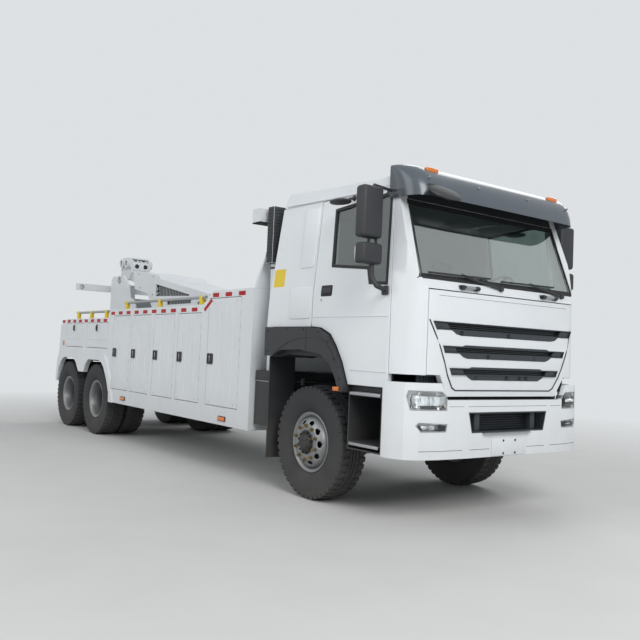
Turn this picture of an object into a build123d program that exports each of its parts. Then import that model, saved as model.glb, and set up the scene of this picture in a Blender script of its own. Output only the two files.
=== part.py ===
# Heavy 6x4 recovery truck: cab, chassis with two drive axles, locker body,
# lifting boom and folding underlift.
# Millimetres. +X is forward, +Y is the truck's left, +Z is up.
# Every x below is measured from the front axle; ORIGIN_X moves the truck so that
# its origin is on the ground under the middle of its length.
import os
from math import cos, pi, radians, sin

from build123d import *

# Wheels and axles
TYRE_R = 562.5
TYRE_HALF_W = 156.5
TREAD_HALF_W = 120
RIM_R = 256
RIM_LIP_R = 301
RIM_HALF_W = 122
AXLE_FRONT_X = 0
AXLE_REAR_X = (-5825, -7175)
FRONT_TYRE_Y = 1015
DUAL_Y = (742.5, 1087.5)
DISC_Y = 915
KINGPIN_Y = 840
STEER_ARM = 240
STUB_R = 40
AXLE_STUB_R = 50
RUN_FIT = 0.1
WHEEL_SIDES = 24

# Whole length, from the bumper's face to the back of the stowed crossbar
NOSE_X = 1540
TAIL_X = -8010
ORIGIN_X = -(NOSE_X + TAIL_X) / 2

# Frame rails
RAIL_Y = (350, 430)
RAIL_Z = (750, 1050)
RAIL_WEB = 10
RAIL_FRONT_X = 1250
RAIL_REAR_X = -7450
SUBFRAME_TOP = 1230

# Cab
CAB_HALF_W = 1190
CAB_WALL = 60
CAB_LEAN_FROM_Z = 2000
CAB_LEAN = 0.09
CAB_FLOOR_TOP = 1510
CAB_ROOF_SEAM_Z = 2985
CAB_PILLAR_X = 1173
CAB_CORNER_BOTTOM_Z = 1300
DOOR_REAR_X = 15
PANEL_GAP = 8
PANEL_TOP_Z = 2040
PANEL_HALF_W = 1000
FIREWALL_X = (1335, 1375)
VISOR_HALF_W = 1130

# Service body
BODY_FRONT_X = -1085
SKIN_Y = (1175, 1215)
FLARE_Y = 1250
INNER_WALL_Y = 520
WALL = 40
BODY_BOTTOM_Z = 560
MID_DECK_Z = 1990
REAR_DECK_Z = 1865
ARCH_FLOOR_Z = 1210
DOOR_T = 35
DOOR_GAP = 7

# Boom
BOOM_HALF_W = 430
BOOM_WALL = 30
PIVOT_X = -3750
PIVOT_Z = 2060
PIVOT_R = 40
BOOM_ANGLE = 10.2
INNER_HALF_W = 160
INNER_HALF_H = 100
INNER_LEN = 3150
INNER_WALL = 20
CHEEK_T = 28
SHEAVE_R = 80
BOSS_R = 82
BOSS_Y = 245
LIFT_BASE = (-6080, 1420)
LIFT_EYE = (-4950, 1860)
LIFT_Y = 290
BARREL_R = 85
ROD_R = 45
BARREL_LEN = 1000

# Underlift
FOLD_X = -7720
FOLD_Z = 840
ARM_HALF_W = 110
ARM_TOP_Z = 2250
CROSSBAR_X = (-7995, -7875)
CROSSBAR_Z = (2440, 2560)
CROSSBAR_HALF_L = 920
SWIVEL_R = 35

os.makedirs("parts", exist_ok=True)


def prism(points, axis, low, high):
    """Extrude an outline along an axis. Points are the other two axes in x, y, z order."""
    place = {
        "x": lambda a, b: (low, a, b),
        "y": lambda a, b: (a, low, b),
        "z": lambda a, b: (a, b, low),
    }[axis]
    way = {"x": (1, 0, 0), "y": (0, 1, 0), "z": (0, 0, 1)}[axis]
    outline = Polyline(*[place(a, b) for a, b in points], close=True)
    return extrude(make_face(outline), amount=high - low, dir=way)


def block(x, y, z):
    """A box from three (low, high) pairs."""
    size = [pair[1] - pair[0] for pair in (x, y, z)]
    middle = [(pair[1] + pair[0]) / 2 for pair in (x, y, z)]
    return Pos(*middle) * Box(*size)


def bar(radius, length, sides):
    """A bar along Z about its middle: flat-sided where it only has to look round."""
    if sides:
        outline = RegularPolygon(radius, sides, major_radius=False)
        return Pos(0, 0, -length / 2) * extrude(outline, amount=length)
    return Cylinder(radius, length)


def rod(axis, radius, across, low, high, sides=0):
    """A bar along an axis; across holds its other two coordinates in x, y, z order."""
    middle = (low + high) / 2
    length = high - low
    a, b = across
    if axis == "x":
        return Pos(middle, a, b) * Rot(0, 90, 0) * bar(radius, length, sides)
    if axis == "y":
        return Pos(a, middle, b) * Rot(90, 0, 0) * bar(radius, length, sides)
    return Pos(a, b, middle) * bar(radius, length, sides)


def strut(start, end, radius, sides=0):
    """A round bar between two points."""
    axis = Vector(*end) - Vector(*start)
    plane = Plane(origin=start, z_dir=axis)
    return plane * Pos(0, 0, axis.length / 2) * bar(radius, axis.length, sides)


def turned(points, sides=WHEEL_SIDES):
    """Turn a closed (y, radius) outline about Y in flat facets whose middles lie at the radius.

    One facet looks straight down, so a tyre stands on it.
    """
    reach = 1 / cos(pi / sides)

    def corner(step, y, r):
        angle = 2 * pi * (step - 0.5) / sides - pi / 2
        return (r * reach * cos(angle), y, r * reach * sin(angle))

    faces = []
    for step in range(sides):
        for (y_a, r_a), (y_b, r_b) in zip(points, points[1:] + points[:1]):
            if r_a == r_b == 0:
                continue
            loop = [corner(step, y_a, r_a), corner(step, y_b, r_b)]
            if r_b:
                loop.append(corner(step + 1, y_b, r_b))
            if r_a:
                loop.append(corner(step + 1, y_a, r_a))
            faces.append(make_face(Polyline(*loop, close=True)).face())
    return Part(Solid(Shell(faces)).wrapped)


def other_side(shape):
    return mirror(shape, about=Plane.XZ)


def both_sides(shape):
    return shape + other_side(shape)


def slope(x, z, along, up=0):
    """A point along the boom's own axis, measured back from (x, z)."""
    turn = radians(BOOM_ANGLE)
    return (x - along * cos(turn) + up * sin(turn), z + along * sin(turn) + up * cos(turn))


def save(name, shape):
    export_step(Pos(ORIGIN_X, 0, 0) * shape, f"parts/{name}.step")


# Wheels. Outlines are made on the left, at positive y, and mirrored for the right.
def tyre(middle_y):
    half = [
        (107, RIM_R),
        (107, RIM_LIP_R),
        (TYRE_HALF_W, 400),
        (TYRE_HALF_W - 8, 505),
        (TREAD_HALF_W + 2, TYRE_R),
    ]
    outline = half + [(-y, r) for y, r in reversed(half)]
    return turned([(middle_y + y, r) for y, r in outline])


def disc_holes(y_low, y_high, pitch_r, hole_r, count=10):
    tool = Part()
    for i in range(count):
        angle = radians(360 / count * i)
        place = (pitch_r * cos(angle), pitch_r * sin(angle))
        tool += rod("y", hole_r, place, y_low, y_high, 6)
    return tool


def front_rim():
    """Dished steel wheel with its hub and brake drum in one outline, at its place across."""
    y = FRONT_TYRE_Y
    shape = turned([
        (y - RIM_HALF_W, RIM_LIP_R), (y - RIM_HALF_W, 240), (y + 60, 240), (y + 20, 205),
        (y - 65, 205), (y - 65, STUB_R + RUN_FIT), (y + 105, STUB_R + RUN_FIT), (y + 105, 0),
        (y + 218, 0), (y + 218, 50), (y + 190, 90), (y + 172, 100), (y + 172, 165),
        (y + 160, 208), (y + 100, 240), (y + RIM_HALF_W, 240), (y + RIM_HALF_W, RIM_LIP_R),
        (y + 107, RIM_LIP_R), (y + 107, RIM_R), (y - 107, RIM_R), (y - 107, RIM_LIP_R),
    ])
    return shape - disc_holes(y + 110, y + 180, 200, 20)


def rear_wheel():
    """Twin tyres, both dished wheels, the hub and the drum in one outline."""
    inner, outer = DUAL_Y
    twin = []
    for middle_y in (inner, outer):
        twin += [
            (middle_y - RIM_HALF_W, RIM_LIP_R), (middle_y - TYRE_HALF_W, 400),
            (middle_y - TYRE_HALF_W + 8, 505), (middle_y - TREAD_HALF_W - 2, TYRE_R),
            (middle_y + TREAD_HALF_W + 2, TYRE_R), (middle_y + TYRE_HALF_W - 8, 505),
            (middle_y + TYRE_HALF_W, 400), (middle_y + RIM_HALF_W, RIM_LIP_R),
        ]
    between = [(inner + RIM_HALF_W, RIM_R), (outer - RIM_HALF_W, RIM_R)]
    dish = [
        (outer + RIM_HALF_W, 240), (outer - 45, 240), (DISC_Y + 30, 192), (DISC_Y + 14, 155),
        (DISC_Y + 12, 112), (1010, 100), (1010, 0), (985, 0),
    ]
    axle_side = [
        (985, AXLE_STUB_R + RUN_FIT), (885, AXLE_STUB_R + RUN_FIT), (885, 205), (760, 205),
        (760, 240), (inner - RIM_HALF_W, 240),
    ]
    return turned(twin[:8] + between + twin[8:] + dish + axle_side)


def make_wheels():
    for side, turn in (("left", lambda s: s), ("right", other_side)):
        place = Pos(AXLE_FRONT_X, 0, TYRE_R)
        save(f"front_tyre_{side}", place * turn(tyre(FRONT_TYRE_Y)))
        save(f"front_rim_{side}", place * turn(front_rim()))
        for number, axle_x in enumerate(AXLE_REAR_X, start=1):
            save(f"rear_wheel_{number}_{side}", Pos(axle_x, 0, TYRE_R) * turn(rear_wheel()))


# Axles and steering
EAR_LOW = (449, 489)
EAR_HIGH = (636, 676)
WEB_Y = (890, 925)


def knuckle():
    """Left steering knuckle: kingpin, two ears, web, stub axle and track-rod arm."""
    y = KINGPIN_Y
    shape = rod("z", 22, (0, y), 455, 670)
    for low, high in (EAR_LOW, EAR_HIGH):
        shape += rod("z", 48, (0, y), low, high, 16)
        shape += block((-48, 48), (y, WEB_Y[1]), (low, high))
    shape += block((-62, 62), WEB_Y, (EAR_LOW[0], EAR_HIGH[1]))
    shape += rod("y", STUB_R, (0, TYRE_R), WEB_Y[1] - 5, FRONT_TYRE_Y + 100)
    arm = block((-STEER_ARM, -30), (y - 16, y + 16), (EAR_LOW[0], EAR_LOW[1] - 10))
    arm += rod("z", 26, (-STEER_ARM, y), EAR_LOW[0], EAR_LOW[1] - 10, 12)
    arm -= rod("z", 12, (-STEER_ARM, y), 400, 520)
    return shape + arm


def track_rod():
    """Cross tube behind the axle with a pin up into each knuckle arm."""
    shape = rod("y", 20, (-STEER_ARM, 415), -KINGPIN_Y, KINGPIN_Y, 12)
    pin = rod("z", 11.95, (-STEER_ARM, KINGPIN_Y), 405, EAR_LOW[1] - 10)
    eye = rod("z", 28, (-STEER_ARM, KINGPIN_Y), 392, 438, 12)
    return shape + both_sides(pin + eye)


def front_axle():
    """Dropped I-beam axle with kingpin bosses and its two leaf springs."""
    beam = prism(
        [(-815, 515), (-815, 612), (-640, 520), (640, 520), (815, 612), (815, 515),
         (620, 425), (-620, 425)],
        "x", -50, 50)
    flutes = prism([(-600, 445), (-600, 500), (600, 500), (600, 445)], "x", 12, 60)
    beam -= flutes
    beam -= mirror(flutes, about=Plane.YZ)
    boss = rod("z", 43, (0, KINGPIN_Y), EAR_LOW[1] + 5, EAR_HIGH[0] - 5, 16)
    beam += both_sides(boss)
    beam -= both_sides(rod("z", 22.1, (0, KINGPIN_Y), 400, 700))
    spring = leaf_spring(720, 395, 465)
    return beam + both_sides(spring)


def leaf_spring(half_length, y_low, y_high):
    """Four stepped leaves on a pad, with a hanger at each end up to the frame rail."""
    # columns: share of the half length, leaf's top at the centre
    leaves = ((1.0, 605), (0.8, 590), (0.55, 575), (0.35, 560))
    shape = block((-90, 90), (y_low, y_high), (515, 560))
    for share, top in leaves:
        reach = half_length * share
        rise = 120 * share * share
        outline = [
            (-reach, top + rise), (-reach / 2, top + rise * 0.3), (0, top),
            (reach / 2, top + rise * 0.3), (reach, top + rise), (reach, top + rise - 16),
            (reach / 2, top + rise * 0.3 - 16), (0, top - 16), (-reach / 2, top + rise * 0.3 - 16),
            (-reach, top + rise - 16),
        ]
        shape += prism(outline, "y", y_low, y_high)
    for end in (-1, 1):
        x = end * (half_length - 15)
        shape += block((x - 35, x + 35), (y_low, y_high), (700, RAIL_Z[0]))
    return shape


def drive_axles():
    """Two banjo axles carried by one pair of springs on a cross trunnion."""
    middle_x = sum(AXLE_REAR_X) / 2
    shape = Part()
    for x in AXLE_REAR_X:
        shape += rod("y", 75, (x, TYRE_R), -880, 880, 16)
        shape += rod("y", AXLE_STUB_R, (x, TYRE_R), -980, 980)
        shape += rod("y", 205, (x, TYRE_R), -75, 75, 16)
        shape += rod("x", 95, (0, TYRE_R + 30), x - 40, x + 290, 12)
    half = (AXLE_REAR_X[0] - AXLE_REAR_X[1]) / 2
    spring = prism(
        [(middle_x - half - 90, 637), (middle_x - half - 90, 690), (middle_x - 420, 715),
         (middle_x - 180, 775), (middle_x + 180, 775), (middle_x + 420, 715),
         (middle_x + half + 90, 690), (middle_x + half + 90, 637), (middle_x + 200, 655),
         (middle_x - 200, 655)],
        "y", 440, 520)
    saddle = block((middle_x - 150, middle_x + 150), (440, 520), (430, 660))
    hanger = prism(
        [(middle_x - 120, 430), (middle_x + 120, 430), (middle_x + 240, RAIL_Z[0]),
         (middle_x - 240, RAIL_Z[0])],
        "y", 360, 425)
    shape += both_sides(spring + saddle + hanger)
    shape += rod("y", 55, (middle_x, 480), -520, 520, 12)
    return shape


def make_running_gear():
    save("knuckle_left", knuckle())
    save("knuckle_right", other_side(knuckle()))
    save("track_rod", track_rod())
    save("axles_and_springs", front_axle() + drive_axles())


# Frame
def ladder_frame():
    """C-section rails, crossmembers, the recovery gear's subframe and the boom pedestal."""
    low, high = RAIL_Z
    rail = block((RAIL_REAR_X, RAIL_FRONT_X), RAIL_Y, RAIL_Z)
    hollow = block((RAIL_REAR_X, RAIL_FRONT_X), (RAIL_Y[0], RAIL_Y[1] - RAIL_WEB),
                   (low + RAIL_WEB, high - RAIL_WEB))
    shape = both_sides(rail - hollow)
    # columns: crossmember x, half of its width along the truck
    crossmembers = ((1170, 60), (-1620, 50), (-2800, 50), (-4200, 50), (-5200, 60), (-6500, 90),
                    (-7380, 60))
    for x, half in crossmembers:
        web = (-(RAIL_Y[1] - RAIL_WEB), RAIL_Y[1] - RAIL_WEB)
        shape += block((x - half, x + half), web, (low + 110, high - RAIL_WEB))
    sub = block((RAIL_REAR_X, -1300), RAIL_Y, (high, SUBFRAME_TOP))
    shape += both_sides(sub)
    for x in (-1350, -3750, -5600):
        shape += block((x - 50, x + 50), (-RAIL_Y[0], RAIL_Y[0]), (high + 40, SUBFRAME_TOP - 20))
    pedestal = prism(
        [(-4150, SUBFRAME_TOP - 20), (-3350, SUBFRAME_TOP - 20), (-3640, PIVOT_Z + 60),
         (-3700, PIVOT_Z + 95), (-3800, PIVOT_Z + 95), (-3860, PIVOT_Z + 60)],
        "y", 440, 470)
    foot = block((-4150, -3350), (RAIL_Y[1] - 10, 470), (high + 20, SUBFRAME_TOP))
    shape += both_sides(pedestal + foot)
    shape += rod("y", PIVOT_R, (PIVOT_X, PIVOT_Z), -490, 490)
    x = LIFT_BASE[0]
    # columns: post's inner face, outer face, bottom z
    posts = ((205, 235, 1060), (345, 375, 1060))
    for low_y, high_y, low_z in posts:
        shape += both_sides(prism(
            [(x - 160, low_z), (x + 160, low_z), (x + 70, LIFT_BASE[1] + 70),
             (x - 70, LIFT_BASE[1] + 70)], "y", low_y, high_y))
    shape += both_sides(block((x - 160, x + 160), (200, 350), (1060, 1100)))
    shape += both_sides(rod("y", 35, LIFT_BASE, 205, 375))
    return shape


def engine_and_gearbox():
    """Plain engine block with sump, the gearbox, and the propeller shafts to both axles."""
    shape = block((-650, 560), (-330, 330), (700, 1420))
    shape += block((-500, 420), (-180, 180), (600, 700))
    shape += prism([(-650, 620), (-650, 1100), (-1000, 1000), (-1500, 900), (-1500, 650)],
                   "y", -210, 210)
    shape += strut((-1495, 0, 760), (-5500, 0, 600), 52, 12)
    shape += rod("x", 45, (0, TYRE_R + 30), -6875, -6055, 12)
    return shape


def tanks_and_batteries():
    """Air tanks under the lockers, battery box on the right and silencer on the left."""
    shape = Part()
    for x in (-1900, -2750):
        shape += both_sides(rod("x", 118, (360, 620), x - 340, x + 340, 20))
    shape += block((-1060, -770), (-1150, -560), (640, 1230))
    shape += block((-1060, -770), (560, 1150), (640, 1230))
    shape += both_sides(block((-1040, -1000), (430, 560), (780, 860)))
    return shape


# Bumper, lamps and steps
BUMPER_PLAN = [
    (1180, 1245), (1260, 1243), (1400, 1190), (1480, 1080), (1520, 880), (NOSE_X, 560),
]
BUMPER_BOTTOM_Z = 582
BUMPER_TOP_Z = 1092
BUMPER_CORNER_Z = 1235
BUMPER_T = 45
# columns: the (y, z) corners of each lamp's opening
HEADLAMP = [(800, 1000), (800, 1120), (860, 1165), (1165, 1170), (1180, 1120), (1150, 1000)]
FOG_LAMP = [(805, 815), (790, 885), (1090, 900), (1110, 870), (1070, 815)]
AIR_OPENING = [(-500, 800), (-545, 984), (545, 984), (500, 800)]


def bumper_form(inset, z_low, z_high):
    side = [(x - (0 if i == 0 else inset), y - inset) for i, (x, y) in enumerate(BUMPER_PLAN)]
    plan = side + [(x, -y) for x, y in reversed(side)]
    return prism(plan, "z", z_low, z_high)


def bumper_shell(outer_inset, inner_inset):
    z = (BUMPER_BOTTOM_Z, BUMPER_CORNER_Z)
    return bumper_form(outer_inset, *z) - bumper_form(inner_inset, z[0] - 1, z[1] + 1)


def front_bumper():
    shape = bumper_shell(0, BUMPER_T)
    dip = prism([(-905, 1300), (-795, BUMPER_TOP_Z), (795, BUMPER_TOP_Z), (905, 1300)],
                "x", 1100, 1600)
    shape -= dip
    shape -= prism(AIR_OPENING, "x", 1100, 1600)
    for corners in (HEADLAMP, FOG_LAMP):
        shape -= both_sides(prism(corners, "x", 1200, 1600))
    for y in (-81.5, 81.5):
        for z in (608, 723):
            shape -= rod("x", 3.5, (y, z), 1400, 1600)
    carrier = block((1250, NOSE_X - BUMPER_T), (360, 420), (780, 1000))
    return shape + both_sides(carrier)


def lamps():
    """Head and fog lamp blocks in the bumper, and the tail lamp clusters."""
    skin = bumper_shell(6, BUMPER_T + 25)
    shape = Part()
    for corners in (HEADLAMP, FOG_LAMP):
        shape += both_sides(skin & prism(corners, "x", 1200, 1600))
    tail = block((-7850, -7800), (760, 1170), (900, 1020))
    return shape + both_sides(tail)


def steps_and_mudflaps():
    """Two-tread step wells below the doors and a flap behind each wheel group."""
    well = block((680, 1145), (800, 1215), (590, 1105))
    room = block((692, 1133), (830, 1300), (662, 1078))
    lower_room = block((692, 1133), (1010, 1300), (602, 648))
    shape = well - room - lower_room
    shape += block((820, 1000), (430, 800), (900, 960))
    flap = block((-722, -706), (870, 1200), (315, 1395))
    flap += block((-722, -690), (430, 900), (960, 1020))
    rear = block((-7800, -7784), (590, 1170), (300, 1150))
    rear += block((-7784, -7440), (600, 640), (1130, 1150))
    return both_sides(shape) + both_sides(flap) + both_sides(rear)


def make_chassis():
    save("ladder_frame", ladder_frame())
    save("engine_and_gearbox", engine_and_gearbox())
    save("tanks_and_batteries", tanks_and_batteries())
    save("front_bumper", front_bumper())
    save("lamps", lamps())
    save("steps_and_mudflaps", steps_and_mudflaps())


# Cab
CAB_PROFILE = [
    (-835, 1450), (400, 1450), (560, 1118), (1468, 1118), (1498, 1400), (1500, 1800),
    (1476, 2038), (1445, 2078), (1128, 2975), (1060, 3085), (-617, 3150), (-700, 3030),
]
CAB_PLAN = [(-1000, 1190), (1120, 1190), (1330, 1140), (1440, 1050), (1500, 900), (1512, 500)]
DOOR_OUTLINE = [
    (15, 2975), (15, 1712), (180, 1700), (330, 1640), (430, 1530), (530, 1380), (625, 1172),
    (1165, 1172), (1165, 2120), (1082, 2975),
]
WINDOW_OUTLINE = [
    (250, 2860), (285, 2300), (830, 2245), (875, 2105), (1115, 2090), (1060, 2880), (1000, 2915),
]
SCREEN_OUTLINE = [(-1080, 2140), (1080, 2140), (1030, 2850), (-1030, 2850)]
PANEL_OUTLINE = [
    (-745, 1100), (745, 1100), (865, 1305), (PANEL_HALF_W, 1305), (PANEL_HALF_W, PANEL_TOP_Z),
    (-PANEL_HALF_W, PANEL_TOP_Z), (-PANEL_HALF_W, 1305), (-865, 1305),
]
GRILLE_SLOTS = [
    [(-925, 1700), (-955, 1768), (955, 1768), (925, 1700)],
    [(-825, 1500), (-850, 1560), (850, 1560), (825, 1500)],
    [(-725, 1310), (-755, 1368), (755, 1368), (725, 1310)],
]


def roof_top(x):
    """Height of the roof's upper face, which falls towards the front."""
    (front_x, front_z), (rear_x, rear_z) = CAB_PROFILE[9:11]
    return front_z + (front_x - x) * (rear_z - front_z) / (front_x - rear_x)


def inset_face(points, axis, level, amount):
    place = {
        "y": lambda a, b: (a, level, b),
        "z": lambda a, b: (a, b, level),
    }[axis]
    face = make_face(Polyline(*[place(a, b) for a, b in points], close=True))
    if amount:
        face = offset(face, amount=-amount, kind=Kind.INTERSECTION)
    return face


def cab_form(inset):
    """The cab's outer form, or the same form moved in by a wall's thickness."""
    half = CAB_HALF_W - inset
    profile = extrude(inset_face(CAB_PROFILE, "y", -1300, inset), amount=2600, dir=(0, 1, 0))
    plan_points = CAB_PLAN + [(x, -y) for x, y in reversed(CAB_PLAN)]
    plan = extrude(inset_face(plan_points, "z", 1000, inset), amount=2300, dir=(0, 0, 1))
    top = half - CAB_LEAN * (3200 - CAB_LEAN_FROM_Z)
    section = prism(
        [(-half, 1000), (half, 1000), (half, CAB_LEAN_FROM_Z), (top, 3200), (-top, 3200),
         (-half, CAB_LEAN_FROM_Z)],
        "x", -1200, 1600)
    return profile & plan & section


def cab_pane(window, low=12, high=20):
    """A sheet of glass just inside the cab's outer form."""
    return (cab_form(low) - cab_form(high)) & window


def grown(points, amount):
    face = make_face(Polyline(*[(a, 0, b) for a, b in points], close=True))
    return offset(face, amount=amount, kind=Kind.INTERSECTION)


def make_cab():
    shell = cab_form(0) - cab_form(CAB_WALL)
    inner_half = CAB_HALF_W - CAB_WALL
    big = 4000

    above = block((-big, big), (-big, big), (CAB_ROOF_SEAM_Z, big))
    save("cab_roof", shell & above)
    below = shell - above
    front_zone = prism(
        [(CAB_PILLAR_X, 0), (CAB_PILLAR_X, 2120), (1090, CAB_ROOF_SEAM_Z), (big, CAB_ROOF_SEAM_Z),
         (big, 0)],
        "y", -big, big)
    floor_zone = block((-big, CAB_PILLAR_X), (-inner_half, inner_half), (0, CAB_FLOOR_TOP))

    walls = (below - front_zone) - floor_zone
    arch = block((-big, DOOR_REAR_X), (-big, big), (0, 1712))
    keep_rear = block((-big, -600), (-inner_half, inner_half), (CAB_FLOOR_TOP, 1712))
    walls = (walls - arch) + (walls & keep_rear)
    door_hole = extrude(grown(DOOR_OUTLINE, PANEL_GAP), amount=1400, dir=(0, 1, 0), both=True)
    side_room = block((-big, big), (CAB_HALF_W - 200, big), (0, big))
    walls -= both_sides(door_hole & side_room)
    walls -= both_sides(block((0, big), (inner_half - 60, big), (0, 1730)))
    save("cab_walls", walls)

    floor = below & floor_zone
    floor -= block((300, big), (-460, 460), (0, CAB_FLOOR_TOP - CAB_WALL))
    floor += block((300, CAB_PILLAR_X), (-460, 460), (CAB_FLOOR_TOP - CAB_WALL, CAB_FLOOR_TOP))
    floor += both_sides(block((560, CAB_PILLAR_X), (460, 500), (1118, CAB_FLOOR_TOP)))
    floor += block((-740, 1000), (-250, 250), (CAB_FLOOR_TOP - CAB_WALL, 1680))
    floor -= block((-900, 970), (-220, 220), (CAB_FLOOR_TOP - 100, 1650))
    save("cab_floor", floor)

    front = below & front_zone
    panel_zone = block((1380, big), (-PANEL_HALF_W - 6, PANEL_HALF_W + 6), (0, PANEL_TOP_Z + 10))
    panel = front & prism(PANEL_OUTLINE, "x", 1380, 1700)
    for slot in GRILLE_SLOTS:
        panel -= prism(slot, "x", 1350, 1600)
    panel &= block((1400, big), (-big, big), (0, big))
    save("front_panel", panel)
    front -= panel_zone
    front -= both_sides(block((CAB_PILLAR_X, big), (700, big), (0, CAB_CORNER_BOTTOM_Z)))
    front -= block((CAB_PILLAR_X, FIREWALL_X[0]), (-460, 460), (0, CAB_FLOOR_TOP - CAB_WALL))
    front += block(FIREWALL_X, (-1000, 1000), (1160, CAB_CORNER_BOTTOM_Z))
    front += block(FIREWALL_X, (-1090, 1090), (CAB_CORNER_BOTTOM_Z, 2090))
    screen = prism(SCREEN_OUTLINE, "x", 1000, 1700)
    front -= screen
    save("cab_front", front)
    save("windscreen", cab_pane(screen & block((1100, 1600), (-1100, 1100), (2100, 2900))))

    visor = prism(
        [(1060, roof_top(1060)), (1000, roof_top(1000)), (1000, 3100), (1075, 3125), (1150, 3145),
         (1290, 3100), (1390, 2995), (1425, 2860), (1400, 2860), (1365, 2980), (1275, 3078),
         (1148, 3118), (1085, 3090)],
        "y", -VISOR_HALF_W, VISOR_HALF_W)
    end = prism(
        [(1085, 3090), (1148, 3118), (1275, 3078), (1365, 2980), (1400, 2860), (1180, 2910)],
        "y", VISOR_HALF_W - 20, VISOR_HALF_W)
    save("sun_visor", visor + both_sides(end))

    seat = block((150, 660), (290, 810), (1590, 1860)) + prism(
        [(150, 1800), (40, 2500), (150, 2530), (290, 1860)], "y", 300, 800)
    seat += block((250, 560), (350, 720), (CAB_FLOOR_TOP, 1590))
    bunk = block((-690, -120), (-1060, 1060), (1690, 1960))
    dash = prism(
        [(1325, 1560), (1325, 2090), (1180, 2120), (1020, 2060), (960, 1900), (1060, 1700),
         (1120, 1560)],
        "y", -1040, 1040)
    dash += strut((1060, 560, 1900), (840, 560, 2140), 45, 12)
    save("cab_interior", both_sides(seat) + bunk + dash)

    wheel = bar(236, 24, 20) - bar(212, 40, 20) + bar(60, 40, 12)
    for i in range(3):
        wheel += Rot(0, 0, 90 + 120 * i) * Pos(115, 0, 0) * Box(215, 28, 14)
    column = Vector(-220, 0, 240)
    plane = Plane(origin=(822, 560, 2160), z_dir=column)
    save("steering_wheel", plane * wheel)

    flare = prism(
        [(-760, 1704), (12, 1704), (176, 1690), (322, 1630), (420, 1522), (518, 1374),
         (612, 1165), (612, 1100), (545, 1100), (500, 1215), (400, 1350), (250, 1440),
         (-100, 1478), (-450, 1468), (-610, 1400), (-760, 1400)],
        "y", 1131, FLARE_Y - 5)
    under = [(-600, 1392), (-450, 1424), (230, 1412), (385, 1325), (485, 1200)]
    lip = prism(
        [(510, 1222), (408, 1360), (255, 1452), (-100, 1490), (-450, 1480), (-625, 1412)] + under,
        "y", 1131, 1150)
    liner = prism([(500, 1215), (400, 1350), (248, 1438), (130, 1444), (-590, 1444)] + under,
                  "y", 700, 1140)
    save("cab_mudguards", both_sides(flare + lip + liner))


def make_cab_doors():
    shell = cab_form(0) - cab_form(CAB_WALL)
    side = block((-2000, 2000), (CAB_HALF_W - 200, 2000), (0, 4000))
    outline = prism(DOOR_OUTLINE, "y", 900, 1300)
    window = prism(WINDOW_OUTLINE, "y", 900, 1300)
    floor_room = block((-2000, 2000), (0, CAB_HALF_W - CAB_WALL), (0, CAB_FLOOR_TOP))
    door = (shell & outline & side) - window - floor_room
    door -= block((160, 215), (CAB_HALF_W - 25, 1300), (2030, 2100))
    glass = cab_pane(window & side)
    arm = block((1070, 1150), (1190, 1206), (1990, 2065))
    arm += strut((1120, 1204, 2030), (1130, 1330, 2060), 22, 8)
    arm += strut((1130, 1330, 2050), (1090, 1350, 2250), 22, 8)
    arm += block((1035, 1075), (1112, 1124), (2905, 2945))
    arm += strut((1060, 1122, 2925), (1080, 1340, 2900), 14, 8)
    mirror_big = block((1010, 1140), (1265, 1500), (2470, 2930))
    mirror_small = block((1020, 1150), (1275, 1500), (2240, 2430))
    stem = rod("z", 16, (1085, 1340), 2220, 2960, 8)
    kerb = block((380, 640), (1180, 1360), (2860, 2900))
    kerb += strut((520, 1122, 2940), (520, 1200, 2885), 12, 8)
    mirrors = arm + mirror_big + mirror_small + stem + kerb
    for name, turn in (("left", lambda s: s), ("right", other_side)):
        save(f"cab_door_{name}", turn(door))
        save(f"door_glass_{name}", turn(glass))
        save(f"door_mirrors_{name}", turn(mirrors))


# Service body. All of it is made on the left and mirrored.
BODY_OUTLINE = [
    (BODY_FRONT_X, BODY_BOTTOM_Z), (BODY_FRONT_X, 2148), (-2020, 2148), (-2270, MID_DECK_Z),
    (-5360, MID_DECK_Z), (-5400, REAR_DECK_Z), (-7460, REAR_DECK_Z), (-7790, 1765),
    (-7830, ARCH_FLOOR_Z), (-5240, ARCH_FLOOR_Z), (-5090, BODY_BOTTOM_Z),
]
SKIN_OUTLINE = [
    (BODY_FRONT_X, BODY_BOTTOM_Z), (BODY_FRONT_X, 2148), (-2020, 2148), (-2270, MID_DECK_Z),
    (-5360, MID_DECK_Z), (-5400, REAR_DECK_Z), (-7460, REAR_DECK_Z), (-7790, 1765),
    (-7835, 1100), (-7835, 756), (-5090, BODY_BOTTOM_Z),
]
FLARE_OUTLINE = [
    (-5060, BODY_BOTTOM_Z), (-5225, 920), (-5370, 1170), (-5500, 1275), (-7700, 1270),
    (-7800, 1150), (-7838, 756), (-7760, 756), (-5500, BODY_BOTTOM_Z),
]
ARCH_OPENING = [
    (-5185, 400), (-5215, 700), (-5325, 900), (-5470, 1080), (-5580, 1155), (-5700, 1187),
    (-6170, 1187), (-6290, 1120), (-6400, 968), (-6640, 968), (-6790, 1120), (-6920, 1187),
    (-7430, 1187), (-7570, 1125), (-7690, 1000), (-7765, 756), (-7765, 400),
]
# columns: name, rear edge x, front edge x, bottom z, top z
SIDE_DOORS = [
    ("1", -2110, -1345, 775, 2055),
    ("2", -2945, -2305, 775, 1885),
    ("3", -3700, -3060, 775, 1885),
    ("4", -4470, -3830, 775, 1885),
    ("5", -5200, -4560, 775, 1885),
]
# columns: name, rear edge x, front edge x, bottom z, top z
FLAPS = [
    ("1", -6400, -5430, 1385, 1785),
    ("2", -7480, -6575, 1385, 1785),
]
PARTITIONS_X = (-2225, -3765, -5225)


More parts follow.
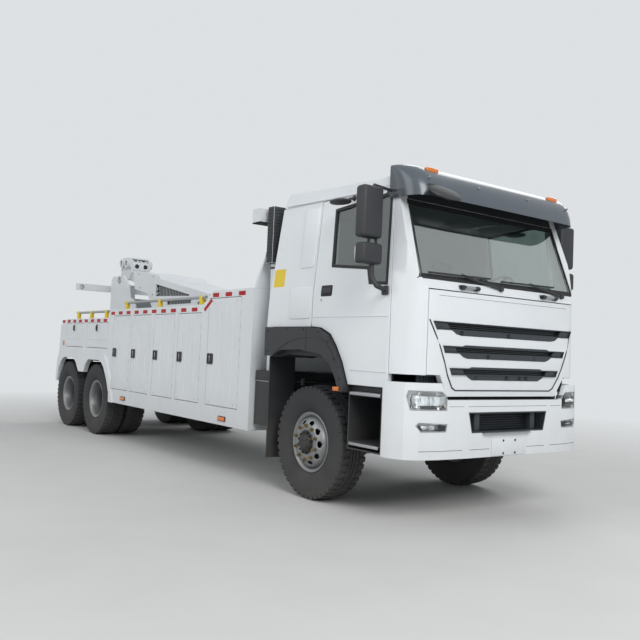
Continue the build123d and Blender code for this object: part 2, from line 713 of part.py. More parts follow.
def locker_shell():
    """Floor, deck, inner wall and partitions of one row of lockers, open to the outside."""
    outer_face = make_face(Polyline(*[(x, 0, z) for x, z in BODY_OUTLINE], close=True))
    inner_face = offset(outer_face, amount=-WALL, kind=Kind.INTERSECTION)
    outer = Pos(0, INNER_WALL_Y, 0) * extrude(outer_face, amount=SKIN_Y[0] - INNER_WALL_Y,
                                              dir=(0, 1, 0))
    room = Pos(0, INNER_WALL_Y + WALL, 0) * extrude(inner_face, amount=1000, dir=(0, 1, 0))
    shape = outer - room
    for x in PARTITIONS_X:
        wall = block((x - WALL / 2, x + WALL / 2), (INNER_WALL_Y, SKIN_Y[0]), (500, 2200))
        shape += wall & outer
    return shape


def body_side():
    skin = prism(SKIN_OUTLINE, "y", *SKIN_Y) + prism(FLARE_OUTLINE, "y", SKIN_Y[0], FLARE_Y)
    skin -= prism(ARCH_OPENING, "y", 1100, 1300)
    for _, rear, front, low, high in SIDE_DOORS + FLAPS:
        skin -= block((rear - DOOR_GAP, front + DOOR_GAP), (1100, 1300),
                      (low - DOOR_GAP, high + DOOR_GAP))
    return skin


def side_door(rear, front, low, high):
    """Flush locker door with pressed upright channels and a latch recess."""
    y = (SKIN_Y[1] - DOOR_T, SKIN_Y[1])
    shape = block((rear, front), y, (low, high))
    count = 4
    pitch = (front - rear) / (count + 1)
    for i in range(1, count + 1):
        x = rear + pitch * i
        shape -= block((x - 12, x + 12), (y[1] - 5, y[1] + 5), (low + 60, high - 60))
    shape += block((rear + 22, rear + 92), (y[1] - 5, y[1] + 6), (1255, 1395))
    return shape


def rear_flap(rear, front, low, high):
    y = (SKIN_Y[1] - DOOR_T, SKIN_Y[1])
    middle = (rear + front) / 2
    shape = block((rear, front), y, (low, high))
    shape -= block((rear + 40, front - 40), (y[1] - 5, y[1] + 5), (1500, 1515))
    shape += block((middle - 25, middle + 25), (y[1] - 5, y[1] + 8), (1650, 1760))
    return shape


def deck_gear():
    """Handrails along the deck, the headboard behind the cab and its lamp bar and intake."""
    shape = Part()
    # columns: deck level, rail height, rear x, front x, post places
    rails = (
        (REAR_DECK_Z, 1975, -7150, -5650, (-7060, -6420, -5730)),
        (MID_DECK_Z, 2090, -4960, -2340, (-4880, -3700, -2450)),
    )
    for deck, height, rear, front, posts in rails:
        rail = rod("x", 18, (1140, height), rear, front, 8)
        for x in posts:
            rail += block((x - 25, x + 25), (1115, 1165), (deck, height + 22))
        shape += both_sides(rail)
    board = prism(
        [(-1170, 2148), (-1170, 2190), (-1010, 2640), (-1010, 2880), (1010, 2880), (1010, 2640),
         (1170, 2190), (1170, 2148)],
        "x", -1140, -1105)
    board -= prism([(-820, 2260), (-820, 2780), (820, 2780), (820, 2260)], "x", -1200, -1000)
    for y in (-410, 0, 410):
        board += block((-1140, -1105), (y - 20, y + 20), (2250, 2790))
    board += block((-1125, -1085), (-INNER_WALL_Y, INNER_WALL_Y), (SUBFRAME_TOP, 2148))
    board += block((-1200, -1045), (-1200, 1200), (2880, 3040))
    duct = block((-985, -865), (-1130, -950), (2420, 3050))
    duct += block((-960, -890), (-1080, -1000), (1236, 2420))
    duct += block((-1105, -960), (-1060, -1020), (2500, 2560))
    return shape + board + duct


def make_body():
    save("locker_shells", both_sides(locker_shell()))
    save("body_sides", both_sides(body_side()))
    for side, turn in (("left", lambda s: s), ("right", other_side)):
        for name, rear, front, low, high in SIDE_DOORS:
            save(f"locker_door_{name}_{side}", turn(side_door(rear, front, low, high)))
        for name, rear, front, low, high in FLAPS:
            save(f"rear_flap_{name}_{side}", turn(rear_flap(rear, front, low, high)))
    save("headboard_and_rails", deck_gear())


# Recovery gear
HOUSING_OUTLINE = [
    (-3600, 2235), (-5320, 2545), (-5390, 2615), (-6450, 2755), (-6370, 2430), (-5830, 2335),
    (-5620, 2110), (-5450, 1985), (-4050, 1930), (-3600, 2000),
]
LOUVRE_UPPER = [(-5480, 2270), (-5480, 2470), (-4250, 2250), (-4250, 2232)]
LOUVRE_LOWER = [(-5050, 2115), (-5050, 2185), (-4180, 2175), (-4180, 2115)]
COLUMN_OUTLINE = [
    (-7500, SUBFRAME_TOP), (-7500, 2630), (-7420, 2700), (-6930, 2700), (-6680, 2520),
    (-6600, 2290), (-6400, 2230), (-6250, 1900), (-6250, SUBFRAME_TOP),
]
HEAD_OUTLINE = [
    (-7560, 2690), (-7645, 2755), (-7645, 3000), (-7575, 3085), (-7240, 3070), (-7165, 2990),
    (-7150, 2800), (-7230, 2665),
]
HEAD_COVER = [(-7575, 3060), (-7575, 3085), (-7240, 3070), (-7240, 3046)]
# columns: x, z
SHEAVES = [(-7520, 2975), (-7290, 2960)]
INNER_FRONT = (-4400, 2228)


def sloped_box(start, end, half_y, low, high):
    """A box along the boom's axis, from start to end measured back from INNER_FRONT."""
    x, z = INNER_FRONT
    corners = [slope(x, z, start, low), slope(x, z, end, low), slope(x, z, end, high),
               slope(x, z, start, high)]
    return prism(corners, "y", -half_y, half_y)


def boom_housing():
    outer_face = make_face(Polyline(*[(x, 0, z) for x, z in HOUSING_OUTLINE], close=True))
    inner_face = offset(outer_face, amount=-BOOM_WALL, kind=Kind.INTERSECTION)
    outer = extrude(outer_face, amount=BOOM_HALF_W, dir=(0, 1, 0), both=True)
    room = extrude(inner_face, amount=BOOM_HALF_W - BOOM_WALL, dir=(0, 1, 0), both=True)
    shape = outer - room
    shape -= sloped_box(1500, 2600, INNER_HALF_W + 8, -INNER_HALF_H - 8, INNER_HALF_H + 8)
    for opening in (LOUVRE_UPPER, LOUVRE_LOWER):
        shape -= prism(opening, "y", -600, 600)
    boss = rod("y", 75, (PIVOT_X, PIVOT_Z), -BOOM_HALF_W, -BOOM_HALF_W + 120, 16)
    shape += both_sides(boss)
    shape -= rod("y", PIVOT_R + RUN_FIT, (PIVOT_X, PIVOT_Z), -600, 600)
    x, z = LIFT_EYE
    for y in (LIFT_Y - 78, LIFT_Y + 48):
        lug = prism([(x - 150, 1990), (x + 150, 1990), (x + 60, z - 55), (x - 60, z - 55)],
                    "y", y, y + 30)
        shape += both_sides(lug)
        shape += both_sides(rod("y", 50, LIFT_EYE, y, y + 30, 12))
    return shape


def inner_boom():
    """Extending section with the sheave head at its tip: cheeks, cover, sheaves, hollow pins."""
    shape = sloped_box(0, INNER_LEN, INNER_HALF_W, -INNER_HALF_H, INNER_HALF_H)
    shape -= sloped_box(-10, INNER_LEN - 150, INNER_HALF_W - INNER_WALL,
                        -INNER_HALF_H + INNER_WALL, INNER_HALF_H - INNER_WALL)
    shape += both_sides(prism(HEAD_OUTLINE, "y", INNER_HALF_W, INNER_HALF_W + CHEEK_T))
    shape += prism(HEAD_COVER, "y", -INNER_HALF_W, INNER_HALF_W)
    for place in SHEAVES:
        wheel = rod("y", SHEAVE_R, place, 15, 40, 16) + rod("y", SHEAVE_R, place, 120, 145, 16)
        wheel += rod("y", SHEAVE_R - 20, place, 40, 120, 16)
        pin = rod("y", 48, place, 0, INNER_HALF_W, 12)
        boss = rod("y", BOSS_R, place, INNER_HALF_W, BOSS_Y, 16)
        boss -= rod("y", BOSS_R - 32, place, INNER_HALF_W + CHEEK_T, BOSS_Y + 10, 16)
        shape += both_sides(wheel + pin + boss)
    return shape


def rear_column():
    plate = prism(COLUMN_OUTLINE, "y", 388, 425)
    plate -= rod("y", 38, (-7090, 2620), 300, 500)
    shape = both_sides(plate)
    shape += block((-7500, -7460), (-388, 388), (SUBFRAME_TOP, 2300))
    shape += block((-7120, -7080), (-388, 388), (SUBFRAME_TOP, 2300))
    shape += block((-7500, -7080), (-388, 388), (2260, 2300))
    guide = block((-7540, -7500), (240, 300), (640, 2200))
    shape += both_sides(guide)
    shape += block((-7500, -7455), (-300, 300), (640, SUBFRAME_TOP))
    return shape


def lift_direction():
    return Vector(LIFT_EYE[0] - LIFT_BASE[0], 0, LIFT_EYE[1] - LIFT_BASE[1]).normalized()


def lift_barrels():
    way = lift_direction()
    base = Vector(LIFT_BASE[0], LIFT_Y, LIFT_BASE[1])
    tube = strut(tuple(base + way * 150), tuple(base + way * BARREL_LEN), BARREL_R, 16)
    tube += strut(tuple(base), tuple(base + way * 160), 44, 12)
    bore = strut(tuple(base + way * 180), tuple(base + way * (BARREL_LEN + 10)), ROD_R + 6, 16)
    eye = rod("y", 75, LIFT_BASE, LIFT_Y - 45, LIFT_Y + 45, 16)
    shape = (tube - bore) + eye - rod("y", 35 + RUN_FIT, LIFT_BASE, 0, 500)
    return both_sides(shape)


def lift_rods():
    way = lift_direction()
    base = Vector(LIFT_BASE[0], LIFT_Y, LIFT_BASE[1])
    end = Vector(LIFT_EYE[0], LIFT_Y, LIFT_EYE[1])
    shape = strut(tuple(base + way * 200), tuple(end), ROD_R, 16)
    shape += rod("y", 58, LIFT_EYE, LIFT_Y - 38, LIFT_Y + 38, 16)
    shape -= rod("y", 32, LIFT_EYE, 0, 500, 12)
    return both_sides(shape)


def underlift_carriage():
    """Slides on the column's rear guides and carries the fold hinge."""
    shape = block((-7600, -7505), (-235, 235), (700, 1650))
    shape += both_sides(block((-7600, -7545), (235, 300), (700, 1650)))
    ear = prism([(-7600, 700), (-7600, 1050), (FOLD_X - 50, 930), (FOLD_X - 70, FOLD_Z),
                 (FOLD_X - 50, 770), (FOLD_X + 20, 740)], "y", ARM_HALF_W + 6, ARM_HALF_W + 46)
    shape += both_sides(ear)
    return shape - rod("y", 40, (FOLD_X, FOLD_Z), -300, 300)


def underlift_arm():
    shape = block((FOLD_X - 75, FOLD_X + 75), (-ARM_HALF_W, ARM_HALF_W), (FOLD_Z + 60, ARM_TOP_Z))
    shape += rod("y", 75, (FOLD_X, FOLD_Z), -ARM_HALF_W, ARM_HALF_W, 20)
    shape += block((FOLD_X - 75, FOLD_X + 75), (-ARM_HALF_W, ARM_HALF_W), (FOLD_Z, FOLD_Z + 80))
    shape -= block((FOLD_X - 58, FOLD_X + 58), (-ARM_HALF_W + 17, ARM_HALF_W - 17),
                   (FOLD_Z + 160, ARM_TOP_Z + 10))
    return shape + rod("y", 40 - RUN_FIT, (FOLD_X, FOLD_Z), -156, 156)


def underlift_extension():
    shape = block((FOLD_X - 50, FOLD_X + 50), (-85, 85), (FOLD_Z + 180, 2380))
    shape += prism([(FOLD_X + 50, 2290), (FOLD_X + 50, 2590), (-7865, 2590), (-7865, 2410),
                    (FOLD_X - 76, 2290)], "y", -120, 120)
    middle = sum(CROSSBAR_Z) / 2
    shape += rod("x", SWIVEL_R - RUN_FIT, (0, middle), TAIL_X, -7800)
    return shape


def crossbar():
    middle = sum(CROSSBAR_Z) / 2
    shape = block(CROSSBAR_X, (-CROSSBAR_HALF_L, CROSSBAR_HALF_L), CROSSBAR_Z)
    shape += rod("x", 110, (0, middle), *CROSSBAR_X, 20)
    shape -= rod("x", SWIVEL_R, (0, middle), -8100, -7700)
    for y in (-840, 840):
        shape -= rod("x", 30, (y, middle), -8100, -7700)
    return shape


def make_recovery_gear():
    save("rear_column", rear_column())
    save("boom_housing", boom_housing())
    save("inner_boom", inner_boom())
    save("lift_barrels", lift_barrels())
    save("lift_rods", lift_rods())
    save("underlift_carriage", underlift_carriage())
    save("underlift_arm", underlift_arm())
    save("underlift_extension", underlift_extension())
    save("crossbar", crossbar())


make_wheels()
make_running_gear()
make_chassis()
make_cab()
make_cab_doors()
make_body()
make_recovery_gear()
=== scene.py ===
# %% [markdown]
# # A heavy 6x4 recovery truck
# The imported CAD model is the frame: every sheet, tube and tyre already has its
# place. This lesson dresses it in paint, rubber, glass and steel, and adds the
# parts that are too small for the CAD: treads, nuts, lamps, seals, latches,
# reflective tape, wipers, mirrors and pipes.
# Everything is in metres. +X is forward, +Y is the truck's left, +Z is up.

# %% Load the frame
from math import atan2, ceil, cos, hypot, pi, radians, sin

import bmesh
import bpy
from mathutils import Matrix, Vector


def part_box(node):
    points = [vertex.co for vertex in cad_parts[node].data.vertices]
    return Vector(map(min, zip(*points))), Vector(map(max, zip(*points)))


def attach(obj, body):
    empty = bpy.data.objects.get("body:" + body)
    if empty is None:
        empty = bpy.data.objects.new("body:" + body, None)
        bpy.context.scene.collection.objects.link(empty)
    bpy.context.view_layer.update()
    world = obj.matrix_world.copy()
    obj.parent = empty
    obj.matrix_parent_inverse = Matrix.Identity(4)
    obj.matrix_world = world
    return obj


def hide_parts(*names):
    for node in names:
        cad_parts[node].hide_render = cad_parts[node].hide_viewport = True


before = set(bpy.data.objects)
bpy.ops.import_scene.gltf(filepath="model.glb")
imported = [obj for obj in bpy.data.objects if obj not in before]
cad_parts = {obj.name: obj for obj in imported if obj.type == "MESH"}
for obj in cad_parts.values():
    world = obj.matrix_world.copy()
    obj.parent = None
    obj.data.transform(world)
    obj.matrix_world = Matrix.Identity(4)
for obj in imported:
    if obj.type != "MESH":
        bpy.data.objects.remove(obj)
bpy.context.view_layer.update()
SIDES = {"left": 1, "right": -1}


# %% [markdown]
# ## Where things are
# A truck is measured from its front axle, so the first helper turns a distance
# from that axle into a place in the frame. The axle is the middle of the front
# tyre's own box, and its height is the wheel's radius.

# %% Measure the frame
def middle(node):
    """The middle of a CAD node's box."""
    low, high = (Vector(corner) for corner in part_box(node))
    return (low + high) / 2


AXLE_X = middle("front_tyre_left").x
WHEEL_R = middle("front_tyre_left").z
FRONT_TYRE_Y = middle("front_tyre_left").y
REAR_AXLES = {n: middle(f"rear_wheel_{n}_left").x - AXLE_X for n in (1, 2)}
REAR_DISC_Y = middle("rear_wheel_1_left").y


def at(x, y, z):
    """A place given from the front axle."""
    return Vector((AXLE_X + x, y, z))


print("front axle", round(AXLE_X, 3), "rear axles", REAR_AXLES)


# %% [markdown]
# ## Helpers for finishes
# A colour is written as the hex value that a paint chart gives, and one function
# turns it to the linear values that Blender works with. One more function adds a
# node with its settings and links, so each finish reads as a short list.

# %% Colour and node helpers
def linear(hex_code):
    """An sRGB hex colour as linear RGBA."""
    parts = [int(hex_code[i:i + 2], 16) / 255 for i in (1, 3, 5)]
    return [p / 12.92 if p <= 0.04045 else ((p + 0.055) / 1.055) ** 2.4 for p in parts] + [1]


def add_node(tree, kind, settings=None, links=None):
    """Adds a node; settings names its sockets or properties, links feed its sockets."""
    node = tree.nodes.new(kind)
    for key, value in (settings or {}).items():
        if isinstance(key, str) and hasattr(node, key):
            setattr(node, key, value)
        else:
            node.inputs[key].default_value = value
    for key, source in (links or {}).items():
        tree.links.new(source, node.inputs[key])
    return node


def start_finish(name):
    """An empty material with its output, its shader and the object's own coordinates."""
    finish = bpy.data.materials.new(name)
    finish.use_nodes = True
    tree = finish.node_tree
    tree.nodes.clear()
    out = add_node(tree, "ShaderNodeOutputMaterial")
    shader = add_node(tree, "ShaderNodeBsdfPrincipled")
    tree.links.new(shader.outputs["BSDF"], out.inputs["Surface"])
    place = add_node(tree, "ShaderNodeTexCoord").outputs["Object"]
    return finish, tree, shader, place


print("mid grey in linear light", linear("#808080"))


# %% [markdown]
# ## A finish in layers
# No real surface is one flat colour. Every opaque finish here mixes two close
# colours in patches of about 0.6 m, varies its gloss with the same patches and
# has a fine bump at the real grain of its process. Low down it gets road dust
# in patches of about 0.2 m, which thins out towards a given height.

# %% Layered finish
PATCH_SCALE, DUST_SCALE = 1.7, 5.0
DUST_FULL_Z = 0.15


def layered_finish(name, main, worn, *, grain_mm, rough=(0.4, 0.5), metallic=0.0, bump=0.05,
                   coat=0.0, coat_rough=0.1, dust="#8D8578", dust_top=0.0, dust_share=0.5,
                   specular=0.5):
    """Two close colours mixed by noise at a real grain, with road dust up to a height."""
    finish, tree, shader, place = start_finish(name)
    broad = add_node(tree, "ShaderNodeTexNoise", {"Scale": PATCH_SCALE, "Detail": 4.0},
                     {"Vector": place})
    fine = add_node(tree, "ShaderNodeTexNoise", {"Scale": 1000 / grain_mm, "Detail": 3.0},
                    {"Vector": place})
    share_map = add_node(tree, "ShaderNodeMapRange",
                         {"From Min": 0.35, "From Max": 0.7, "To Min": 0.0, "To Max": 0.5},
                         {"Value": broad.outputs["Fac"]})
    colour = add_node(tree, "ShaderNodeMix", {"data_type": "RGBA", 6: linear(main),
                                              7: linear(worn)},
                      {0: share_map.outputs["Result"]})
    result = colour.outputs[2]
    if dust_top:
        height = add_node(tree, "ShaderNodeSeparateXYZ", None, {0: place})
        low = add_node(tree, "ShaderNodeMapRange",
                       {"From Min": dust_top, "From Max": DUST_FULL_Z, "To Min": 0.0,
                        "To Max": dust_share}, {"Value": height.outputs["Z"]})
        patch = add_node(tree, "ShaderNodeTexNoise", {"Scale": DUST_SCALE, "Detail": 6.0},
                         {"Vector": place})
        film = add_node(tree, "ShaderNodeMath", {"operation": "MULTIPLY"},
                        {0: low.outputs["Result"], 1: patch.outputs["Fac"]})
        dusty = add_node(tree, "ShaderNodeMix", {"data_type": "RGBA", 7: linear(dust)},
                         {0: film.outputs[0], 6: result})
        result = dusty.outputs[2]
    tree.links.new(result, shader.inputs["Base Color"])
    gloss = add_node(tree, "ShaderNodeMapRange", {"To Min": rough[0], "To Max": rough[1]},
                     {"Value": broad.outputs["Fac"]})
    tree.links.new(gloss.outputs["Result"], shader.inputs["Roughness"])
    ripple = add_node(tree, "ShaderNodeBump", {"Strength": bump, "Distance": grain_mm / 1000},
                      {"Height": fine.outputs["Fac"]})
    tree.links.new(ripple.outputs["Normal"], shader.inputs["Normal"])
    shader.inputs["Metallic"].default_value = metallic
    shader.inputs["Coat Weight"].default_value = coat
    shader.inputs["Coat Roughness"].default_value = coat_rough
    shader.inputs["Specular IOR Level"].default_value = specular
    return finish


print("patches of", round(1 / PATCH_SCALE, 1), "m, dust of", 1 / DUST_SCALE, "m")


# %% [markdown]
# ## Paint and tyre rubber
# Cab and body are sprayed with two-pack enamel. The cab's deep clear coat mirrors
# softly, and the body's is duller. The ripple of sprayed paint is finer than a
# millimetre and is drawn at 2.5 to 3 mm, so that it shows. The frame is dipped in
# thick black paint, which pools in small waves. The wheels are sprayed silver-grey,
# and the posts are a shiny yellow. Tyres are carbon-black rubber, which reflects
# little and greys as it dries.

# %% Paints and rubber
WHITE = layered_finish("white_two_pack_enamel", "#E6E9EB", "#DCE0E3", grain_mm=2.5,
                       rough=(0.28, 0.36), bump=0.03, coat=0.6, coat_rough=0.06,
                       dust_top=1.1, dust_share=0.45)
BODY_WHITE = layered_finish("white_body_enamel", "#DFE2E4", "#D3D7D9", grain_mm=3.0,
                            rough=(0.34, 0.44), bump=0.04, coat=0.35, coat_rough=0.12,
                            dust_top=1.0, dust_share=0.5)
RUBBER = layered_finish("carbon_black_tyre_rubber", "#37383A", "#484848", grain_mm=4.0,
                        rough=(0.75, 0.88), bump=0.2, dust="#736E67", dust_top=0.9,
                        dust_share=0.4, specular=0.3)
CHASSIS = layered_finish("dipped_black_chassis_paint", "#26282A", "#323437", grain_mm=6.0,
                         rough=(0.45, 0.6), bump=0.12, dust_top=1.1, dust_share=0.6)
WHEEL_STEEL = layered_finish("sprayed_silver_wheel_steel", "#8E9194", "#7A7D80", grain_mm=2.0,
                             rough=(0.38, 0.5), metallic=0.55, bump=0.06, dust_top=1.0,
                             dust_share=0.55)
YELLOW = layered_finish("yellow_safety_enamel", "#E6C81F", "#D8B91C", grain_mm=2.5,
                        rough=(0.35, 0.45), bump=0.04, coat=0.3)
print("paints and rubber", len(bpy.data.materials))

# %% [markdown]
# ## Plastic, rubber trim and cloth
# Polypropylene on mudguards and steps is moulded with a soft grain, so it looks
# dry. The grille is a finer, darker moulding, and the visor is smoked acrylic with
# a soft shine. Cab trim and dashboard are grained and dull. Seals are extruded
# EPDM, nearly black. Seats are woven: the cloth's threads are drawn 3 mm coarse.

# %% Plastics, seals and cloth
MOULDED = layered_finish("moulded_black_polypropylene", "#2B2D30", "#35373A", grain_mm=1.2,
                         rough=(0.5, 0.62), bump=0.15, dust_top=1.0, dust_share=0.4)
SEAL = layered_finish("epdm_rubber_seal", "#1B1C1D", "#242526", grain_mm=1.0,
                      rough=(0.6, 0.7), bump=0.05)
VISOR_PLASTIC = layered_finish("smoked_visor_plastic", "#4A525A", "#545C64", grain_mm=2.0,
                               rough=(0.25, 0.35), bump=0.04, coat=0.3)
TRIM_PLASTIC = layered_finish("grained_cab_trim", "#77756F", "#6B6964", grain_mm=1.5,
                              rough=(0.6, 0.7), bump=0.12)
DASH_PLASTIC = layered_finish("dark_dashboard_moulding", "#3F4144", "#484A4D", grain_mm=1.2,
                              rough=(0.55, 0.65), bump=0.15)
GRAPHITE = layered_finish("dark_grey_grille_moulding", "#2E3338", "#393E43", grain_mm=1.5,
                          rough=(0.4, 0.5), bump=0.08)
CLOTH = layered_finish("woven_grey_seat_cloth", "#4D5258", "#62676C", grain_mm=3.0,
                       rough=(0.85, 0.95), bump=0.35, specular=0.25)
print("with plastics and cloth", len(bpy.data.materials))

# %% [markdown]
# ## Bare and plated metal
# Aluminium plate comes from the mill with a broad, soft shine. Chrome plate on the
# lift rods is a mirror. The lamps' bowls are aluminised, which is brighter and less
# sharp. Zinc plate on fittings is grey with a fine crystal grain, and the wheel
# nuts have a yellow passivation over it. Cast hubs and drums are rough and dark.

# %% Metals
ALUMINIUM = layered_finish("mill_finish_aluminium", "#B4B6B8", "#9FA2A5", grain_mm=2.0,
                           rough=(0.3, 0.42), metallic=0.9, bump=0.05, dust_top=0.9,
                           dust_share=0.35)
CHROME = layered_finish("polished_chrome_plate", "#DADCDE", "#C9CCCF", grain_mm=3.0,
                        rough=(0.06, 0.12), metallic=1.0, bump=0.01)
REFLECTOR = layered_finish("aluminised_reflector", "#EEF0F2", "#E2E5E8", grain_mm=3.0,
                           rough=(0.2, 0.3), metallic=0.45, bump=0.01)
ZINC = layered_finish("zinc_plated_steel", "#ACAEAF", "#96989A", grain_mm=1.5,
                      rough=(0.35, 0.48), metallic=0.85, bump=0.08)
BRASS = layered_finish("yellow_passivated_nut", "#968463", "#7E7055", grain_mm=1.5,
                       rough=(0.35, 0.5), metallic=0.8, bump=0.08)
CASTING = layered_finish("sand_cast_iron", "#343434", "#42403D", grain_mm=3.0,
                         rough=(0.6, 0.75), metallic=0.3, bump=0.3, dust_top=1.0,
                         dust_share=0.15)
print("with metals", len(bpy.data.materials))

# %% [markdown]
# ## Tape and coloured lenses
# Prismatic tape returns light from small cells, drawn 4 mm wide. It looks flat and
# pale when no lamp shines on it. Amber and red lenses are moulded acrylic with ribs
# inside, so they are glossy and deep in colour. They hide what is behind them and
# need no transmission. A clear lens with prisms takes the white tape's finish.

# %% Tape and lens finishes
RED_TAPE = layered_finish("red_prismatic_tape", "#AE141B", "#9C1017", grain_mm=4.0,
                          rough=(0.4, 0.5), bump=0.12, specular=0.25)
WHITE_TAPE = layered_finish("white_prismatic_tape", "#DEDFE0", "#CFD1D3", grain_mm=4.0,
                            rough=(0.3, 0.4), bump=0.12, coat=0.4)
AMBER = layered_finish("amber_acrylic_lens", "#E07A16", "#C9650F", grain_mm=4.0,
                       rough=(0.12, 0.2), bump=0.15, coat=0.5)
RED_LENS = layered_finish("red_acrylic_lens", "#B01A1C", "#96151A", grain_mm=4.0,
                          rough=(0.12, 0.2), bump=0.15, coat=0.5)
print("opaque finishes", len(bpy.data.materials))


# %% [markdown]
# ## Glass
# The windscreen is laminated, with a faint green tint, and the side windows are
# toughened and a little darker. Both are thin solids, so they transmit with the
# index of glass and almost no roughness. A sputtered metal coat that keeps the
# sun's heat out makes them mirror the sky. A headlamp lens is clear polycarbonate.

# %% Clear finishes
METAL_FILM_IOR = 2.4


def clear_finish(name, tint, ior, rough, coat=0.0):
    """Glass or clear plastic with a slight haze, and a mirroring film if asked."""
    finish, tree, shader, place = start_finish(name)
    film = add_node(tree, "ShaderNodeTexNoise", {"Scale": 3.0, "Detail": 5.0},
                    {"Vector": place})
    haze = add_node(tree, "ShaderNodeMapRange", {"To Min": rough, "To Max": rough + 0.03},
                    {"Value": film.outputs["Fac"]})
    tree.links.new(haze.outputs["Result"], shader.inputs["Roughness"])
    shader.inputs["Base Color"].default_value = linear(tint)
    shader.inputs["Transmission Weight"].default_value = 1.0
    shader.inputs["IOR"].default_value = ior
    shader.inputs["Coat Weight"].default_value = coat
    shader.inputs["Coat Roughness"].default_value = 0.0
    shader.inputs["Coat IOR"].default_value = METAL_FILM_IOR
    return finish


SCREEN_GLASS = clear_finish("laminated_green_glass", "#C4D3CC", 1.5, 0.0, coat=1.0)
SIDE_GLASS = clear_finish("toughened_side_glass", "#9FADA9", 1.5, 0.0, coat=0.5)
LENS = clear_finish("clear_polycarbonate_lens", "#F2F5F6", 1.45, 0.02)
print("clear finishes", SCREEN_GLASS.name, SIDE_GLASS.name, LENS.name)


# %% [markdown]
# ## Finishes for the CAD's own nodes
# Most sheets keep their CAD shape and only take a finish. A table gives each
# finish the words that its nodes' names start with. Refracting glass stops the
# shadow rays of a lamp, so the panes cast no shadow and light reaches the seats.

# %% Dress the CAD nodes
NODE_FINISHES = (
    (WHITE, ("cab_roof", "cab_walls", "cab_front", "front_panel", "front_bumper", "cab_door")),
    (BODY_WHITE, ("body_sides", "locker_door", "rear_flap", "headboard", "boom_housing",
                  "inner_boom", "rear_column", "underlift", "crossbar", "lift_barrels")),
    (CHASSIS, ("ladder_frame", "axles", "track_rod", "knuckle", "engine")),
    (MOULDED, ("cab_mudguards", "steps", "door_mirrors", "steering_wheel", "cab_floor")),
    (VISOR_PLASTIC, ("sun_visor",)),
    (TRIM_PLASTIC, ("cab_interior",)),
    (ALUMINIUM, ("tanks", "locker_shells")),
    (CHROME, ("lift_rods", "lamps")),
    (SCREEN_GLASS, ("windscreen",)),
    (SIDE_GLASS, ("door_glass",)),
    (RUBBER, ("front_tyre", "rear_wheel")),
    (WHEEL_STEEL, ("front_rim",)),
)
PANES = (SCREEN_GLASS, SIDE_GLASS)
dressed = 0
for finish, starts in NODE_FINISHES:
    for name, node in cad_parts.items():
        if name.startswith(starts):
            for place in range(len(node.data.materials)):
                node.data.materials[place] = finish
            node.visible_shadow = finish not in PANES
            dressed += 1
print("CAD nodes dressed", dressed, "of", len(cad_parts))


# %% [markdown]
# ## Folded edges
# Pressed sheet never has a knife edge. Flat facets are joined first, and each
# edge sharper than 32 degrees is rounded by the radius that its sheet would have.
# Gentler bends, such as the cab's front corners, are shaded smooth.

# %% Soften the CAD edges
# columns: words that the node's name starts with, edge radius in metres
EDGES = (
    (("cab_roof",), 0.03), (("front_bumper", "front_panel", "sun_visor"), 0.012),
    (("cab_walls", "cab_front", "cab_door", "cab_mudguards"), 0.008),
    (("body_sides", "headboard", "boom_housing", "inner_boom"), 0.006),
    (("locker_door", "rear_flap", "rear_column", "underlift", "crossbar", "steps"), 0.004),
    (("ladder", "axles", "knuckle", "tanks", "cab_floor", "lift_", "track"), 0.003),
)
SHARP, FLAT = radians(32), radians(0.5)
softened = 0
for starts, radius in EDGES:
    for name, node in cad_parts.items():
        if not name.startswith(starts):
            continue
        old_normals = node.data.attributes.get("custom_normal")
        if old_normals:
            node.data.attributes.remove(old_normals)
        node.data.shade_smooth()
        node.modifiers.new("weld", "WELD").merge_threshold = 0.0001
        flat = node.modifiers.new("flat", "DECIMATE")
        flat.decimate_type, flat.angle_limit = "DISSOLVE", FLAT
        edge = node.modifiers.new("edge", "BEVEL")
        edge.width, edge.segments, edge.harden_normals = radius, 3, True
        edge.limit_method, edge.angle_limit = "ANGLE", SHARP
        softened += 1
print("CAD nodes with rounded edges", softened)


# %% [markdown]
# ## Boxes and round bars
# Most fittings on a truck are cut from plate and bar. A cube is stretched between
# two corners and a cylinder is laid between two points, and bevel breaks the edges
# as a grinder would. A tube that bends is a chain of cylinders with balls between.

# %% Box, bar and tube
def bevel_around(bm, verts, width, segments=2):
    """Rounds every edge that meets the given corners."""
    edges = {e for v in verts for e in v.link_edges}
    bmesh.ops.bevel(bm, geom=list(edges), offset=width, affect="EDGES", segments=segments,
                    profile=0.5, material=-1)


def add_box(bm, low, high, bevel=0.004, segments=2, turn=None):
    """A box between two corners with rounded edges, turned about its middle if asked."""
    low, high = Vector(low), Vector(high)
    size = Matrix.Diagonal([abs(v) for v in (high - low)] + [1])
    place = Matrix.Translation((low + high) / 2) @ (turn or Matrix.Identity(4)) @ size
    corners = bmesh.ops.create_cube(bm, size=1, matrix=place)["verts"]
    if bevel:
        bevel_around(bm, corners, bevel, segments)
    return corners


def boxed(bm, x, y, z, bevel=0.004, segments=2, turn=None):
    """A box from three (low, high) pairs, with x from the front axle."""
    return add_box(bm, at(x[0], y[0], z[0]), at(x[1], y[1], z[1]), bevel, segments, turn)


def add_rod(bm, start, end, radius, end_radius=None, segments=16):
    """A round bar between two points."""
    start, end = Vector(start), Vector(end)
    way = end - start
    place = Matrix.Translation((start + end) / 2) @ way.to_track_quat("Z", "Y").to_matrix().to_4x4()
    bmesh.ops.create_cone(bm, cap_ends=True, segments=segments, radius1=radius,
                          radius2=radius if end_radius is None else end_radius,
                          depth=way.length, matrix=place)


